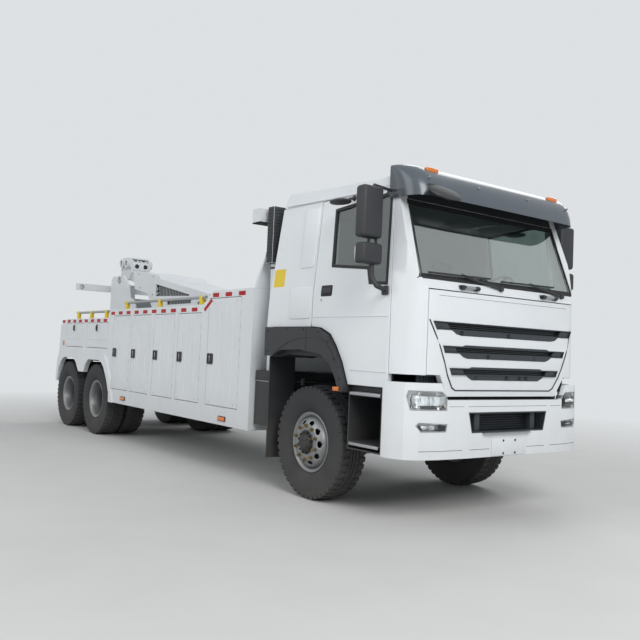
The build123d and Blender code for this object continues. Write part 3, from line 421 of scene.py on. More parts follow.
def add_path(bm, points, radius, segments=10):
    """A tube through several points, with a ball of the same radius at each bend."""
    points = [Vector(p) for p in points]
    for start, end in zip(points, points[1:]):
        add_rod(bm, start, end, radius, segments=segments)
    for bend in points[1:-1]:
        bmesh.ops.create_icosphere(bm, subdivisions=2, radius=radius,
                                   matrix=Matrix.Translation(bend))


print("box, bar and tube ready")

# %% [markdown]
# ## Flat outlines
# A pressing, seal or bezel is drawn flat first. Two helpers give the outlines that
# repeat: a rectangle with round corners, and a circle. A third moves the edges of
# an outline in by an even amount, which gives a ring its inner edge.

# %% Outlines
def rounded(a, b, radius, steps=4):
    """The outline of a rectangle, given as two pairs, with round corners."""
    middles = ((a[1] - radius, b[1] - radius, 0), (a[0] + radius, b[1] - radius, 90),
               (a[0] + radius, b[0] + radius, 180), (a[1] - radius, b[0] + radius, 270))
    return [(u + radius * cos(radians(start + 90 * i / steps)),
             v + radius * sin(radians(start + 90 * i / steps)))
            for u, v, start in middles for i in range(steps + 1)]


def circle(u, v, radius, steps):
    """The outline of a circle about (u, v)."""
    return [(u + radius * cos(2 * pi * i / steps), v + radius * sin(2 * pi * i / steps))
            for i in range(steps)]


def inset(points, amount):
    """Moves each edge of an outline in by an amount (out if negative)."""
    flat = [Vector(p) for p in points]
    area = sum(a.x * b.y - b.x * a.y for a, b in zip(flat, flat[1:] + flat[:1]))
    way = amount if area > 0 else -amount
    result = []
    for before, here, after in zip(flat[-1:] + flat[:-1], flat, flat[1:] + flat[:1]):
        a, b = (here - before).normalized(), (after - here).normalized()
        normal_a, normal_b = Vector((-a.y, a.x)), Vector((-b.y, b.x))
        share = way / max(0.2, 1 + normal_a.dot(normal_b))
        moved = here + (normal_a + normal_b) * share
        result.append((moved.x, moved.y))
    return result


print("a round-cornered outline has", len(rounded((0, 1), (0, 1), 0.1)), "points")

# %% [markdown]
# ## Surfaces to work on
# A thing on the cab has to follow its lean and curve. So the work is done flat,
# as (along, across, height), and a surface then tells where each point belongs.
# The simple surfaces are planes that face along X or Y, and the cab's side, which
# leans in above the door's waist. Curved ones come where they are needed.

# %% Surfaces, prisms and rings
WAIST_Z, LEAN = 2.0, 0.09
CAB_SIDE_Y = 1.19


def along_x(y, z, x):
    """A place on a plane that faces forwards."""
    return at(x, y, z)


def along_y(x, z, y):
    """A place on a plane that faces the left."""
    return at(x, y, z)


def cab_side(x, z, out):
    """A place on the cab's left side."""
    return at(x, CAB_SIDE_Y - LEAN * max(0.0, z - WAIST_Z) + out, z)


def raise_and_lay(bm, faces, surface, height):
    """Extrudes flat faces by a height and moves all of it onto a surface."""
    verts = list({v for face in faces for v in face.verts})
    raised = bmesh.ops.extrude_face_region(bm, geom=faces)["geom"]
    raised = [part for part in raised if isinstance(part, bmesh.types.BMVert)]
    bmesh.ops.translate(bm, verts=raised, vec=(0, 0, height))
    verts += raised
    for vert in verts:
        vert.co = surface(*vert.co)
    return verts


def add_prism(bm, points, surface, low, high, bevel=0.0, segments=2):
    """An outline between two levels of a surface such as along_y or cab_side."""
    face = bm.faces.new([bm.verts.new((a, b, low)) for a, b in points])
    verts = raise_and_lay(bm, [face], surface, high - low)
    if bevel:
        bmesh.ops.recalc_face_normals(bm, faces=list({f for v in verts for f in v.link_faces}))
        bevel_around(bm, verts, bevel, segments)


def add_ring(bm, points, width, surface, low, high):
    """A strip that follows an outline, as wide as given on its inner side."""
    edges = []
    for line in (points, inset(points, width)):
        loop = [bm.verts.new((a, b, low)) for a, b in line]
        edges += [bm.edges.new(pair) for pair in zip(loop, loop[1:] + loop[:1])]
    strip = bmesh.ops.bridge_loops(bm, edges=edges)["faces"]
    raise_and_lay(bm, strip, surface, high - low)


print("waist of the cab at", WAIST_Z)

# %% [markdown]
# ## Turned parts and the two sides
# Rims, hubs and tyres are turned on a lathe or in a mould, so an outline of
# (y, radius) is spun about the axle. The truck's two sides match: a piece is made
# on the left, and is then copied across or moved across.

# %% Spin and sides
def add_spin(bm, profile, centre, steps=64, closed=False):
    """Spins a (y, radius) outline about the Y line through centre."""
    verts = [bm.verts.new((centre[0], centre[1] + y, centre[2] + r)) for y, r in profile]
    edges = [bm.edges.new(pair) for pair in zip(verts, verts[1:])]
    if closed:
        edges.append(bm.edges.new((verts[-1], verts[0])))
    bmesh.ops.spin(bm, geom=verts + edges, cent=centre, axis=(0, 1, 0), angle=2 * pi,
                   steps=steps, use_merge=True, use_duplicate=False)


def both_sides(bm):
    """Copies everything in the bmesh to the truck's other side."""
    copy = bmesh.ops.duplicate(bm, geom=bm.verts[:] + bm.edges[:] + bm.faces[:])["geom"]
    for vert in (g for g in copy if isinstance(g, bmesh.types.BMVert)):
        vert.co.y = -vert.co.y


def flipped(bm, sign):
    """Puts a piece that was made on the left on the given side."""
    for vert in bm.verts:
        vert.co.y *= sign


print("both sides", SIDES)


# %% [markdown]
# ## From bmesh to piece
# The last helper makes the object, which sits at the origin with its place in its
# mesh. Doubles are merged before the normals are recalculated, so that the faces
# point outwards, and the piece rides on the body that carries it.

# %% Make a piece
def make_piece(name, bm, finish, body, smooth=35):
    """Turns the bmesh into a piece that rides on a body, and reports it."""
    bmesh.ops.remove_doubles(bm, verts=bm.verts, dist=0.00002)
    bmesh.ops.recalc_face_normals(bm, faces=bm.faces)
    mesh = bpy.data.meshes.new(name)
    bm.to_mesh(mesh)
    bm.free()
    piece = bpy.data.objects.new(name, mesh)
    bpy.context.collection.objects.link(piece)
    mesh.materials.append(finish)
    mesh.shade_smooth()
    mesh.set_sharp_from_angle(angle=radians(smooth))
    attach(piece, body)
    print(f"{name}: {len(mesh.polygons)} faces on {body}")
    return piece


def add_solidify(piece, thickness, even=True):
    """Gives a sheet its thickness, half to each side."""
    wall = piece.modifiers.new("wall", "SOLIDIFY")
    wall.thickness, wall.offset, wall.use_even_offset = thickness, 0, even


# %% [markdown]
# ## Camera
# The camera stands where the photograph was taken: near eye height, ahead of the
# truck's right-hand corner. Its place, lens and roll were worked out from the
# wheels and the body's edges.

# %% Camera
CAMERA_FROM_AXLE = (6.098, -5.564, 1.458)
CAMERA_YAW, CAMERA_PITCH, CAMERA_ROLL = radians(143.665), radians(2.459), radians(2.384)
LENS_MM, SENSOR_MM = 42.32, 36.0

look = Vector((cos(CAMERA_YAW) * cos(CAMERA_PITCH), sin(CAMERA_YAW) * cos(CAMERA_PITCH),
               sin(CAMERA_PITCH)))
level = Vector((sin(CAMERA_YAW), -cos(CAMERA_YAW), 0))
above = level.cross(look)
right = cos(CAMERA_ROLL) * level + sin(CAMERA_ROLL) * above
up = -sin(CAMERA_ROLL) * level + cos(CAMERA_ROLL) * above
camera = bpy.data.objects.new("camera", bpy.data.cameras.new("camera"))
camera.data.lens, camera.data.sensor_width = LENS_MM, SENSOR_MM
turn = Matrix((right, up, -look)).transposed().to_4x4()
camera.matrix_world = Matrix.Translation(at(*CAMERA_FROM_AXLE)) @ turn
camera.data.clip_end = 300
bpy.context.collection.objects.link(camera)
bpy.context.scene.camera = camera
bpy.context.scene.view_settings.view_transform = "Standard"
print("camera at", [round(v, 3) for v in camera.location])

# %% [markdown]
# ## Lamps
# A large soft lamp above and ahead stands for the brightest part of the sky, and
# two weaker ones light the truck's side and back. Large lamps give the soft
# shadows that white paint needs to show its folds.

# %% Lamps
# columns: name, place from the axle, size, power, aim
LAMPS = (
    ("key", (14, -5, 11), 8, 1700, (0, 0, 1.2)),
    ("side", (-3, -17, 10), 12, 900, (-3, 0, 1)),
    ("back", (-8, 13, 12), 10, 800, (-3, 0, 1)),
)
for name, place, size, power, aim in LAMPS:
    data = bpy.data.lights.new(name, "AREA")
    data.size, data.energy = size, power
    lamp = bpy.data.objects.new(name, data)
    lamp.location = at(*place)
    lamp.rotation_mode = "QUATERNION"
    lamp.rotation_quaternion = (at(*aim) - lamp.location).to_track_quat("-Z", "Y")
    bpy.context.collection.objects.link(lamp)
print("lamps", [name for name, *_ in LAMPS])

# %% [markdown]
# ## World
# A pale world lights the paint evenly, and a lighter one is what the camera and the
# mirrors see behind the truck.

# %% World
SKY, BACKDROP = "#DCE3EA", "#E3E6E8"
SKY_STRENGTH, BACKDROP_STRENGTH = 0.5, 0.95


def seen_or_mirrored(tree):
    """1 where the camera sees a thing, straight, in a mirror or through glass."""
    kinds = add_node(tree, "ShaderNodeLightPath").outputs
    total = kinds["Is Camera Ray"]
    for kind in ("Is Glossy Ray", "Is Transmission Ray"):
        added = add_node(tree, "ShaderNodeMath", {"operation": "ADD", "use_clamp": True},
                         {0: total, 1: kinds[kind]})
        total = added.outputs[0]
    return total


world = bpy.data.worlds.new("studio")
world.use_nodes = True
bpy.context.scene.world = world
tree = world.node_tree
sky = tree.nodes["Background"]
sky.inputs["Color"].default_value = linear(SKY)
sky.inputs["Strength"].default_value = SKY_STRENGTH
pale = add_node(tree, "ShaderNodeBackground", {"Color": linear(BACKDROP),
                                               "Strength": BACKDROP_STRENGTH})
mixed = add_node(tree, "ShaderNodeMixShader", None, {0: seen_or_mirrored(tree),
                                                     1: sky.outputs[0], 2: pale.outputs[0]})
tree.links.new(mixed.outputs[0], tree.nodes["World Output"].inputs["Surface"])
print("world", world.name)

# %% [markdown]
# ## Floor
# The floor has a real finish near the truck, where the shadows fall. Further out it
# fades into the same pale tone as the world, so that no horizon shows.

# %% Floor
FLOOR_HALF, FADE_START, FADE_END = 60, 5.5, 13.0
bm = bmesh.new()
bmesh.ops.create_grid(bm, x_segments=1, y_segments=1, size=FLOOR_HALF)
floor_mesh = bpy.data.meshes.new("studio_floor")
bm.to_mesh(floor_mesh)
bm.free()
floor = bpy.data.objects.new("studio_floor", floor_mesh)
bpy.context.collection.objects.link(floor)
floor_finish = layered_finish("pale_studio_floor", "#D5D4D1", "#CFCECB", grain_mm=8.0,
                              rough=(0.8, 0.9), bump=0.02)
tree = floor_finish.node_tree
shader = tree.nodes["Principled BSDF"]
glow = add_node(tree, "ShaderNodeEmission", {"Color": linear(BACKDROP),
                                             "Strength": BACKDROP_STRENGTH})
place = add_node(tree, "ShaderNodeTexCoord").outputs["Object"]
away = add_node(tree, "ShaderNodeVectorMath", {"operation": "LENGTH"}, {0: place})
fade = add_node(tree, "ShaderNodeMapRange", {"From Min": FADE_START, "From Max": FADE_END},
                {"Value": away.outputs["Value"]})
share = add_node(tree, "ShaderNodeMath", {"operation": "MULTIPLY"},
                 {0: fade.outputs["Result"], 1: seen_or_mirrored(tree)})
mixed = add_node(tree, "ShaderNodeMixShader", None, {0: share.outputs[0],
                                                     1: shader.outputs[0], 2: glow.outputs[0]})
tree.links.new(mixed.outputs[0], tree.nodes["Material Output"].inputs["Surface"])
floor_mesh.materials.append(floor_finish)
print("floor", floor.name)


# %% [markdown]
# ## Tyres
# A 315/80 R22.5 tyre bulges most half way up its side wall and has a shoulder
# of coarse lugs. The side wall is an outline spun about the axle. Three ribs in
# the middle are rings with narrow grooves between them, and the shoulder is one
# lug that is repeated round the tyre, with its outer edge drawn in.

# %% Tyre helper
GROOVE_R = WHEEL_R - 0.014
# columns: out from the tyre's middle, radius
SIDE_WALL = (
    (0.108, 0.262), (0.112, 0.292), (0.121, 0.303), (0.133, 0.316), (0.146, 0.345),
    (0.1545, 0.385), (0.1563, 0.42), (0.1545, 0.455), (0.151, 0.485), (0.1475, 0.505),
    (0.1485, 0.509), (0.1455, 0.52), (0.137, 0.541), (0.131, GROOVE_R),
)
# columns: rib's low and high place across the tread
ROAD_RIBS = ((-0.054, -0.022), (-0.013, 0.013), (0.022, 0.054))
LUGS = 46
# a lug's half length as a share of the pitch
LUG_SHARE = 0.31
LUG_Y = (0.062, 0.146)
TREAD_STEPS = 84


def add_tyre(bm, centre):
    """A tyre's carcass, its three ribs and the lugs of both shoulders."""
    across = list(SIDE_WALL) + [(-y, r) for y, r in reversed(SIDE_WALL)]
    add_spin(bm, across, centre, steps=TREAD_STEPS, closed=True)
    for low, high in ROAD_RIBS:
        rib = [(low, GROOVE_R - 0.004), (low + 0.002, WHEEL_R - 0.002), (low + 0.006, WHEEL_R),
               (high - 0.006, WHEEL_R), (high - 0.002, WHEEL_R - 0.002), (high, GROOVE_R - 0.004)]
        add_spin(bm, rib, centre, steps=TREAD_STEPS)
    half_length = 2 * pi * WHEEL_R / LUGS * LUG_SHARE
    for side in (-1, 1):
        for i in range(LUGS):
            turn = Matrix.Translation(centre) @ Matrix.Rotation(2 * pi * i / LUGS, 4, "Y")
            corners = add_box(bm, (-half_length, side * LUG_Y[0], GROOVE_R - 0.016),
                              (half_length, side * LUG_Y[1], WHEEL_R - 0.001), bevel=0)
            for corner in corners:
                if abs(corner.co.y) > 0.13:
                    corner.co.z -= 0.009 if corner.co.z > GROOVE_R else 0.022
            bmesh.ops.transform(bm, matrix=turn, verts=corners)


print("lugs on each shoulder", LUGS)

# %% [markdown]
# ## Single and twin tyres
# A front wheel has one tyre. At the back two stand side by side on each end of an
# axle, and both are one piece, because they turn together.

# %% Tyres
TWIN_HALF_GAP = 0.1725
for side, sign in SIDES.items():
    bm = bmesh.new()
    add_tyre(bm, at(0, FRONT_TYRE_Y * sign, WHEEL_R))
    tyre = make_piece(f"front_tyre_tread_{side}", bm, RUBBER, f"front_wheel_{side}")
    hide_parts(f"front_tyre_{side}")
    for number, x in REAR_AXLES.items():
        bm = bmesh.new()
        for y in (REAR_DISC_Y - TWIN_HALF_GAP, REAR_DISC_Y + TWIN_HALF_GAP):
            add_tyre(bm, at(x, y * sign, WHEEL_R))
        twin = make_piece(f"twin_tyres_{number}_{side}", bm, RUBBER,
                          f"rear_wheel_{number}_{side}")
        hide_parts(f"rear_wheel_{number}_{side}")


# %% [markdown]
# ## Wheel discs
# The disc of a steel truck wheel is pressed, and ten oval hand holes are punched
# round it. Here the disc is spun with twelve steps to a hole, the faces inside
# each oval are taken out, and the edge that is left is drawn onto the oval.
# Solidify then gives the sheet its thickness. Ten nuts hold it to the hub.

# %% Wheel helpers
HOLES, STEPS_PER_HOLE = 10, 12
HOLE_RING_R, HOLE_HALF_R, HOLE_HALF_WIDE = 0.203, 0.021, 0.033
NUT_RING_R = 0.1675


def from_hole(point, centre):
    """A point from the nearest hand hole in units of its half axes, and its polar place."""
    x, z = point.x - centre.x, point.z - centre.z
    radius, angle = hypot(x, z), atan2(z, x)
    pitch = 2 * pi / HOLES
    off = (angle + pitch / 2) % pitch - pitch / 2
    across, out = off * radius / HOLE_HALF_WIDE, (radius - HOLE_RING_R) / HOLE_HALF_R
    return Vector((across, out)), radius, angle


def punched_disc(bm, profile, centre):
    """Spins a disc and punches an oval every tenth of a turn."""
    add_spin(bm, profile, centre, steps=HOLES * STEPS_PER_HOLE)
    inside = [f for f in bm.faces if from_hole(f.calc_center_median(), centre)[0].length < 1]
    bmesh.ops.delete(bm, geom=inside, context="FACES")
    for vert in bm.verts:
        place, radius, angle = from_hole(vert.co, centre)
        near = 0.3 < place.length < 1.7 and abs(radius - HOLE_RING_R) < HOLE_HALF_R * 1.6
        if near and any(e.is_boundary for e in vert.link_edges):
            drawn = place.normalized()
            radius = HOLE_RING_R + drawn.y * HOLE_HALF_R
            angle += (drawn.x - place.x) * HOLE_HALF_WIDE / radius
            vert.co.x = centre.x + cos(angle) * radius
            vert.co.z = centre.z + sin(angle) * radius


def add_nuts(bm, centre, y, reach, ring_r=NUT_RING_R, count=10, size=0.0165):
    """A ring of hexagon nuts on washers, with stud ends, standing out along reach."""
    way = 1 if reach > 0 else -1
    for i in range(count):
        angle = 2 * pi * (i + 0.5) / count
        foot = Vector((centre.x + ring_r * cos(angle), y, centre.z + ring_r * sin(angle)))
        for start, end, radius, facets in (
                (0, 0.005, size * 1.25, 20), (0.004, abs(reach), size, 6),
                (abs(reach) * 0.9, abs(reach) * 1.5, size * 0.55, 12)):
            add_rod(bm, foot + Vector((0, way * start, 0)), foot + Vector((0, way * end, 0)),
                    radius, segments=facets)


def turned(profile, sign):
    """A lathe outline of (y, radius), seen from the truck's given side."""
    return [(y * sign, r) for y, r in profile]


print("hand hole", HOLE_HALF_WIDE * 2, "by", HOLE_HALF_R * 2)

# %% [markdown]
# ## Front wheels
# A single front wheel's disc stands outwards, almost flush with the tyre. Its hub
# carries the cap's small bolts in two rings, and the brake drum shows through the
# hand holes. Each outline is written out from the tyre's middle.

# %% Front wheels
# columns are (out from the tyre's middle, radius)
RIM_WELL = ((0.121, 0.300), (0.1235, 0.292), (0.120, 0.283), (0.110, 0.268), (0.100, 0.262),
            (0.060, 0.256), (0.030, 0.250), (-0.040, 0.240), (-0.085, 0.256), (-0.105, 0.262),
            (-0.118, 0.285), (-0.1225, 0.300))
FRONT_DISC = ((0.072, 0.2555), (0.098, 0.248), (0.122, 0.238), (0.140, 0.226), (0.148, 0.216),
              (0.155, 0.206), (0.161, 0.196), (0.166, 0.186), (0.170, 0.178), (0.172, 0.172),
              (0.172, 0.150), (0.172, 0.130), (0.172, 0.112))
FRONT_HUB = ((0.150, 0.116), (0.176, 0.113), (0.180, 0.104), (0.180, 0.094), (0.196, 0.088),
             (0.204, 0.080), (0.206, 0.070), (0.213, 0.064), (0.217, 0.050), (0.2175, 0.030),
             (0.2175, 0.0))
FRONT_DRUM = ((0.045, 0.10), (0.048, 0.204), (-0.01, 0.207), (-0.02, 0.214), (-0.035, 0.214),
              (-0.045, 0.207), (-0.066, 0.205), (-0.066, 0.06))
RIM_SHEET, FRONT_SHEET, REAR_SHEET = 0.008, 0.010, 0.009
for side, sign in SIDES.items():
    centre, body = at(0, FRONT_TYRE_Y * sign, WHEEL_R), f"front_wheel_{side}"
    bm = bmesh.new()
    add_spin(bm, turned(RIM_WELL, sign), centre, steps=96)
    rim = make_piece(f"front_rim_well_{side}", bm, WHEEL_STEEL, body)
    add_solidify(rim, RIM_SHEET)
    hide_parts(f"front_rim_{side}")
    bm = bmesh.new()
    punched_disc(bm, turned(FRONT_DISC, sign), centre)
    disc = make_piece(f"front_disc_{side}", bm, WHEEL_STEEL, body, smooth=50)
    add_solidify(disc, FRONT_SHEET)
    bm = bmesh.new()
    add_spin(bm, turned(FRONT_HUB, sign), centre, steps=48)
    add_nuts(bm, centre, centre.y + 0.180 * sign, 0.016 * sign, 0.101, 12, 0.012)
    add_nuts(bm, centre, centre.y + 0.206 * sign, 0.007 * sign, 0.069, 6, 0.009)
    make_piece(f"front_hub_{side}", bm, CASTING, body)
    bm = bmesh.new()
    add_nuts(bm, centre, centre.y + 0.177 * sign, 0.024 * sign)
    make_piece(f"front_nuts_{side}", bm, BRASS, body)
    bm = bmesh.new()
    add_spin(bm, turned(FRONT_DRUM, sign), centre, steps=64)
    make_piece(f"front_drum_{side}", bm, CASTING, body)


# %% [markdown]
# ## Rear wheels
# Twin wheels use the same pressing twice, back to back, so the outer one is
# dished inwards and its hub stands in the middle of a deep bowl.

# %% Rear wheels
REAR_DISC = ((-0.045, 0.2555), (-0.072, 0.248), (-0.100, 0.238), (-0.122, 0.226),
             (-0.132, 0.216), (-0.142, 0.206), (-0.150, 0.196), (-0.156, 0.186),
             (-0.160, 0.178), (-0.161, 0.172), (-0.161, 0.150), (-0.161, 0.140))
REAR_HUB = ((-0.168, 0.150), (-0.150, 0.148), (-0.146, 0.140), (-0.110, 0.128),
            (-0.095, 0.118), (-0.090, 0.116), (-0.088, 0.104), (-0.078, 0.100),
            (-0.074, 0.092), (-0.074, 0.0))
REAR_DRUM = ((-0.190, 0.14), (-0.192, 0.204), (-0.240, 0.208), (-0.250, 0.215),
             (-0.300, 0.215), (-0.326, 0.206), (-0.328, 0.08))
for side, sign in SIDES.items():
    for number, x in REAR_AXLES.items():
        body, slot = f"rear_wheel_{number}_{side}", "tyre_rubber"
        inner = at(x, (REAR_DISC_Y - TWIN_HALF_GAP) * sign, WHEEL_R)
        outer = at(x, (REAR_DISC_Y + TWIN_HALF_GAP) * sign, WHEEL_R)
        bm = bmesh.new()
        add_spin(bm, turned(RIM_WELL, sign), outer, steps=84)
        add_spin(bm, turned(RIM_WELL, -sign), inner, steps=84)
        rims = make_piece(f"rear_rim_wells_{number}_{side}", bm, WHEEL_STEEL, body)
        add_solidify(rims, RIM_SHEET)
        bm = bmesh.new()
        punched_disc(bm, turned(REAR_DISC, sign), outer)
        punched_disc(bm, turned(REAR_DISC, -sign), inner)
        discs = make_piece(f"rear_discs_{number}_{side}", bm, WHEEL_STEEL, body, smooth=50)
        add_solidify(discs, REAR_SHEET)
        bm = bmesh.new()
        add_spin(bm, turned(REAR_HUB, sign), outer, steps=48)
        add_nuts(bm, outer, outer.y - 0.074 * sign, 0.009 * sign, 0.078, 14, 0.008)
        add_spin(bm, turned(REAR_DRUM, sign), outer, steps=64)
        make_piece(f"rear_hub_{number}_{side}", bm, CASTING, body)
        bm = bmesh.new()
        add_nuts(bm, outer, outer.y - 0.157 * sign, 0.026 * sign)
        make_piece(f"rear_nuts_{number}_{side}", bm, ZINC, body)


# %% [markdown]
# ## Visor
# The smoked visor wraps the roof's front corners. A grid is laid onto its section,
# swept along a plan that turns back at both ends, and Solidify gives the sheet its
# thickness. Flat-headed screws and two marker lamps sit on it.

# %% Visor
# columns: x, z
VISOR_SECTION = ((1.072, 3.128), (1.12, 3.158), (1.19, 3.158), (1.27, 3.13), (1.34, 3.075),
                 (1.388, 3.0), (1.412, 2.93), (1.424, 2.862), (1.404, 2.868))
VISOR_REAR_X, VISOR_HALF_W, VISOR_CORNER = 1.045, 1.128, 0.17


def visor_plan(x):
    """The visor's plan at one point of its section, from the left side to the right."""
    corner = min(VISOR_CORNER, max(0.01, x - VISOR_REAR_X - 0.005))
    plan = [(VISOR_REAR_X, VISOR_HALF_W)]
    for angle in range(0, 91, 15):
        plan.append((x - corner + corner * sin(radians(angle)),
                     VISOR_HALF_W - corner + corner * cos(radians(angle))))
    plan += [(x + 0.012 * (1 - (y / 0.9) ** 2), y) for y in (0.8, 0.6, 0.4, 0.2, 0.0)]
    return plan + [(px, -y) for px, y in reversed(plan[:-1])]


def add_grid(bm, columns, rows, place):
    """A sheet of columns by rows, with each corner put where place(column, row) says."""
    verts = bmesh.ops.create_grid(bm, x_segments=columns, y_segments=rows, size=0.5)["verts"]
    for vert in verts:
        vert.co = place(round((vert.co.x + 0.5) * columns), round((vert.co.y + 0.5) * rows))


VISOR_ROWS = [[at(px, py, z) for px, py in visor_plan(x)] for x, z in VISOR_SECTION]
bm = bmesh.new()
add_grid(bm, len(VISOR_ROWS[0]) - 1, len(VISOR_ROWS) - 1, lambda column, row: VISOR_ROWS[row][column])
visor = make_piece("visor", bm, VISOR_PLASTIC, "cab", smooth=60)
add_solidify(visor, 0.006, even=False)
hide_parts("sun_visor")

bm = bmesh.new()
for y in (0.35, 0.98):
    add_rod(bm, at(1.378, y, 3.02), at(1.40, y, 3.032), 0.011)
for y in (0.25, 0.7):
    boxed(bm, (1.0, 1.12), (y, y + 0.05), (3.098, 3.128), 0.004)
both_sides(bm)
make_piece("visor_screws_and_brackets", bm, ZINC, "cab")
bm = bmesh.new()
boxed(bm, (1.262, 1.312), (0.79, 0.93), (3.098, 3.142), 0.01, 3)
both_sides(bm)
make_piece("visor_marker_lamps", bm, AMBER, "cab")


# %% [markdown]
# ## Windscreen
# The bonded screen stands in a rubber seal and has a black printed border, and a
# dark strip covers the header above it, under the visor. The screen is raked and
# turns back at its sides, so a surface gives its face, and all three are laid on that.

# %% Windscreen
def screen_face(y, z, out):
    """A place on the raked windscreen, which turns back at its sides."""
    x = 1.445 - (z - 2.078) * 0.3534 - 0.012 + out
    return at(min(x, 1.428 - max(0.0, abs(y) - 1.05) * 1.222 + out), y, z)


SCREEN_EDGE = [(-1.074, 2.146), (-1.05, 2.146), (0, 2.146), (1.05, 2.146), (1.074, 2.146),
               (1.024, 2.844), (0, 2.844), (-1.024, 2.844)]
bm = bmesh.new()
add_ring(bm, inset(SCREEN_EDGE, -0.014), 0.016, screen_face, -0.004, 0.014)
make_piece("windscreen_seal", bm, SEAL, "cab")
bm = bmesh.new()
add_ring(bm, SCREEN_EDGE, 0.035, screen_face, 0.0005, 0.0015)
make_piece("windscreen_printed_border", bm, SEAL, "cab")
bm = bmesh.new()
# A dark strip covers the header under the visor.
add_prism(bm, [(-1.022, 2.862), (1.022, 2.862), (1.012, 2.962), (-1.012, 2.962)], screen_face,
          0.004, 0.0165)
make_piece("header_trim", bm, MOULDED, "cab")

# %% [markdown]
# ## Wipers and grab handles
# Two wipers park low. Each has a round spindle cover, an arm that thins towards
# the blade, a washer pipe along the arm and the blade itself. The black grab
# handles below the glass are bars between two feet, with a bright sleeve each.

# %% Wipers and grab handles
# columns: spindle y, blade's start y, z and end y, z
WIPERS = ((-0.06, -0.98, 2.19, -0.17, 2.205), (0.86, -0.03, 2.19, 0.78, 2.205))
bm = bmesh.new()
for spindle, start_y, start_z, end_y, end_z in WIPERS:
    blade_start, blade_end = screen_face(start_y, start_z, 0.02), screen_face(end_y, end_z, 0.02)
    blade_start.x += 0.006
    foot = screen_face(spindle, 2.115, 0.028)
    foot.z = 2.112
    middle_of_blade = (blade_start + blade_end) / 2
    middle_of_blade.x += 0.012
    add_rod(bm, blade_start, blade_end, 0.009, segments=6)
    add_rod(bm, foot, middle_of_blade, 0.013, 0.006, segments=8)
    add_rod(bm, foot - Vector((0.02, 0, 0)), foot + Vector((0.016, 0, 0.006)), 0.024)
    add_rod(bm, foot + Vector((0, -0.03, 0.004)), middle_of_blade + Vector((0, 0, 0.016)), 0.004,
            segments=6)
for y in (-0.62, 0.52):
    for end in (0, 0.19):
        boxed(bm, (1.43, 1.487), (y + end, y + end + 0.045), (2.068, 2.108), 0.008)
    add_rod(bm, at(1.478, y, 2.09), at(1.478, y + 0.235, 2.09), 0.013)
make_piece("wipers_and_grab_handles", bm, MOULDED, "cab")
bm = bmesh.new()
for y in (-0.62, 0.52):
    add_rod(bm, at(1.478, y + 0.05, 2.09), at(1.478, y + 0.17, 2.09), 0.0145)
make_piece("grab_handle_sleeves", bm, ALUMINIUM, "cab")


# %% [markdown]
# ## Front panel
# Three long slots stand over a dark moulded grille with a fine mesh of level and
# upright bars. Each slot has a dark rim, and a dark piece fills each of its ends.

# %% Grille
# columns: half width at the slot's top and bottom, bottom z, top z
SLOTS = ((0.955, 0.925, 1.700, 1.768), (0.850, 0.825, 1.500, 1.560), (0.755, 0.725, 1.310, 1.368))
bm = bmesh.new()
boxed(bm, (1.412, 1.418), (-0.97, 0.97), (1.29, 1.79), 0)
for top_half, bottom_half, low, high in SLOTS:
    for i in range(4):
        z = low + (high - low) * (i + 0.5) / 4
        boxed(bm, (1.418, 1.458), (-bottom_half, bottom_half), (z - 0.0035, z + 0.0035), 0)
    for i in range(-22, 23):
        y = i * bottom_half / 23
        boxed(bm, (1.418, 1.455), (y - 0.003, y + 0.003), (low - 0.004, high + 0.004), 0)
make_piece("grille_mesh", bm, GRAPHITE, "front_panel")
bm = bmesh.new()
for top_half, bottom_half, low, high in SLOTS:
    outline = [(-bottom_half, low), (bottom_half, low), (top_half, high), (-top_half, high)]
    add_ring(bm, inset(outline, -0.002), 0.008, along_x, 1.43, 1.5035)
    for side in (-1, 1):
        add_prism(bm, [(side * (bottom_half - 0.16), low + 0.006), (side * bottom_half, low + 0.006),
                       (side * top_half, high - 0.004), (side * (bottom_half - 0.13), high - 0.004)],
                  along_x, 1.46, 1.492, 0.003)
make_piece("grille_end_pieces", bm, GRAPHITE, "front_panel")

# %% [markdown]
# ## Seams of the front panel
# The panel bows back towards its sides, so a surface gives its outer face. Dark
# bands a few millimetres wide follow the gaps round the shield and below the
# windscreen, and shallow dark steps lead from the shield into each slot.

# %% Front panel's seams
def panel_face(y, z, out):
    """The panel's outer face, which bows back towards its sides."""
    y_places = ((0, 1.5126), (0.5, 1.512), (0.9, 1.5), (1.05, 1.44))
    for (y_a, x_a), (y_b, x_b) in zip(y_places, y_places[1:]):
        if abs(y) <= y_b:
            plan_x = x_a + (x_b - x_a) * (abs(y) - y_a) / (y_b - y_a)
            break
    profile_x = 1.5 - max(0.0, 1.4 - z) * 0.106 - max(0.0, z - 1.8) * 0.101
    return at(min(plan_x, profile_x) + out, y, z)


def add_band(bm, line, width, surface, low, high):
    """A narrow band along a line that lies on a surface, drawn in short steps."""
    for (a0, b0), (a1, b1) in zip(line, line[1:]):
        along = Vector((a1 - a0, b1 - b0))
        across = Vector((-along.y, along.x)).normalized() * width / 2
        steps = max(1, round(along.length / 0.12))
        for i in range(steps):
            p = Vector((a0, b0)) + along * i / steps
            q = Vector((a0, b0)) + along * (i + 1) / steps
            add_prism(bm, [tuple(p - across), tuple(q - across), tuple(q + across),
                           tuple(p + across)], surface, low, high)


def add_step(bm, top_half, low_half, top, low):
    """A shallow dark step below or above a slot, narrower at the edge away from it."""
    places = [top_half * i / 12 for i in range(-12, 13)]
    levels = [low + (top - low) * max(0.0, (abs(y) - low_half) / (top_half - low_half))
              for y in places]
    for y_a, y_b, z_a, z_b in zip(places, places[1:], levels, levels[1:]):
        corners = [(y_a, z_a), (y_b, z_b), (y_b, top), (y_a, top)]
        add_prism(bm, [p for i, p in enumerate(corners) if p != corners[i - 1]], panel_face,
                  -0.003, 0.0022)


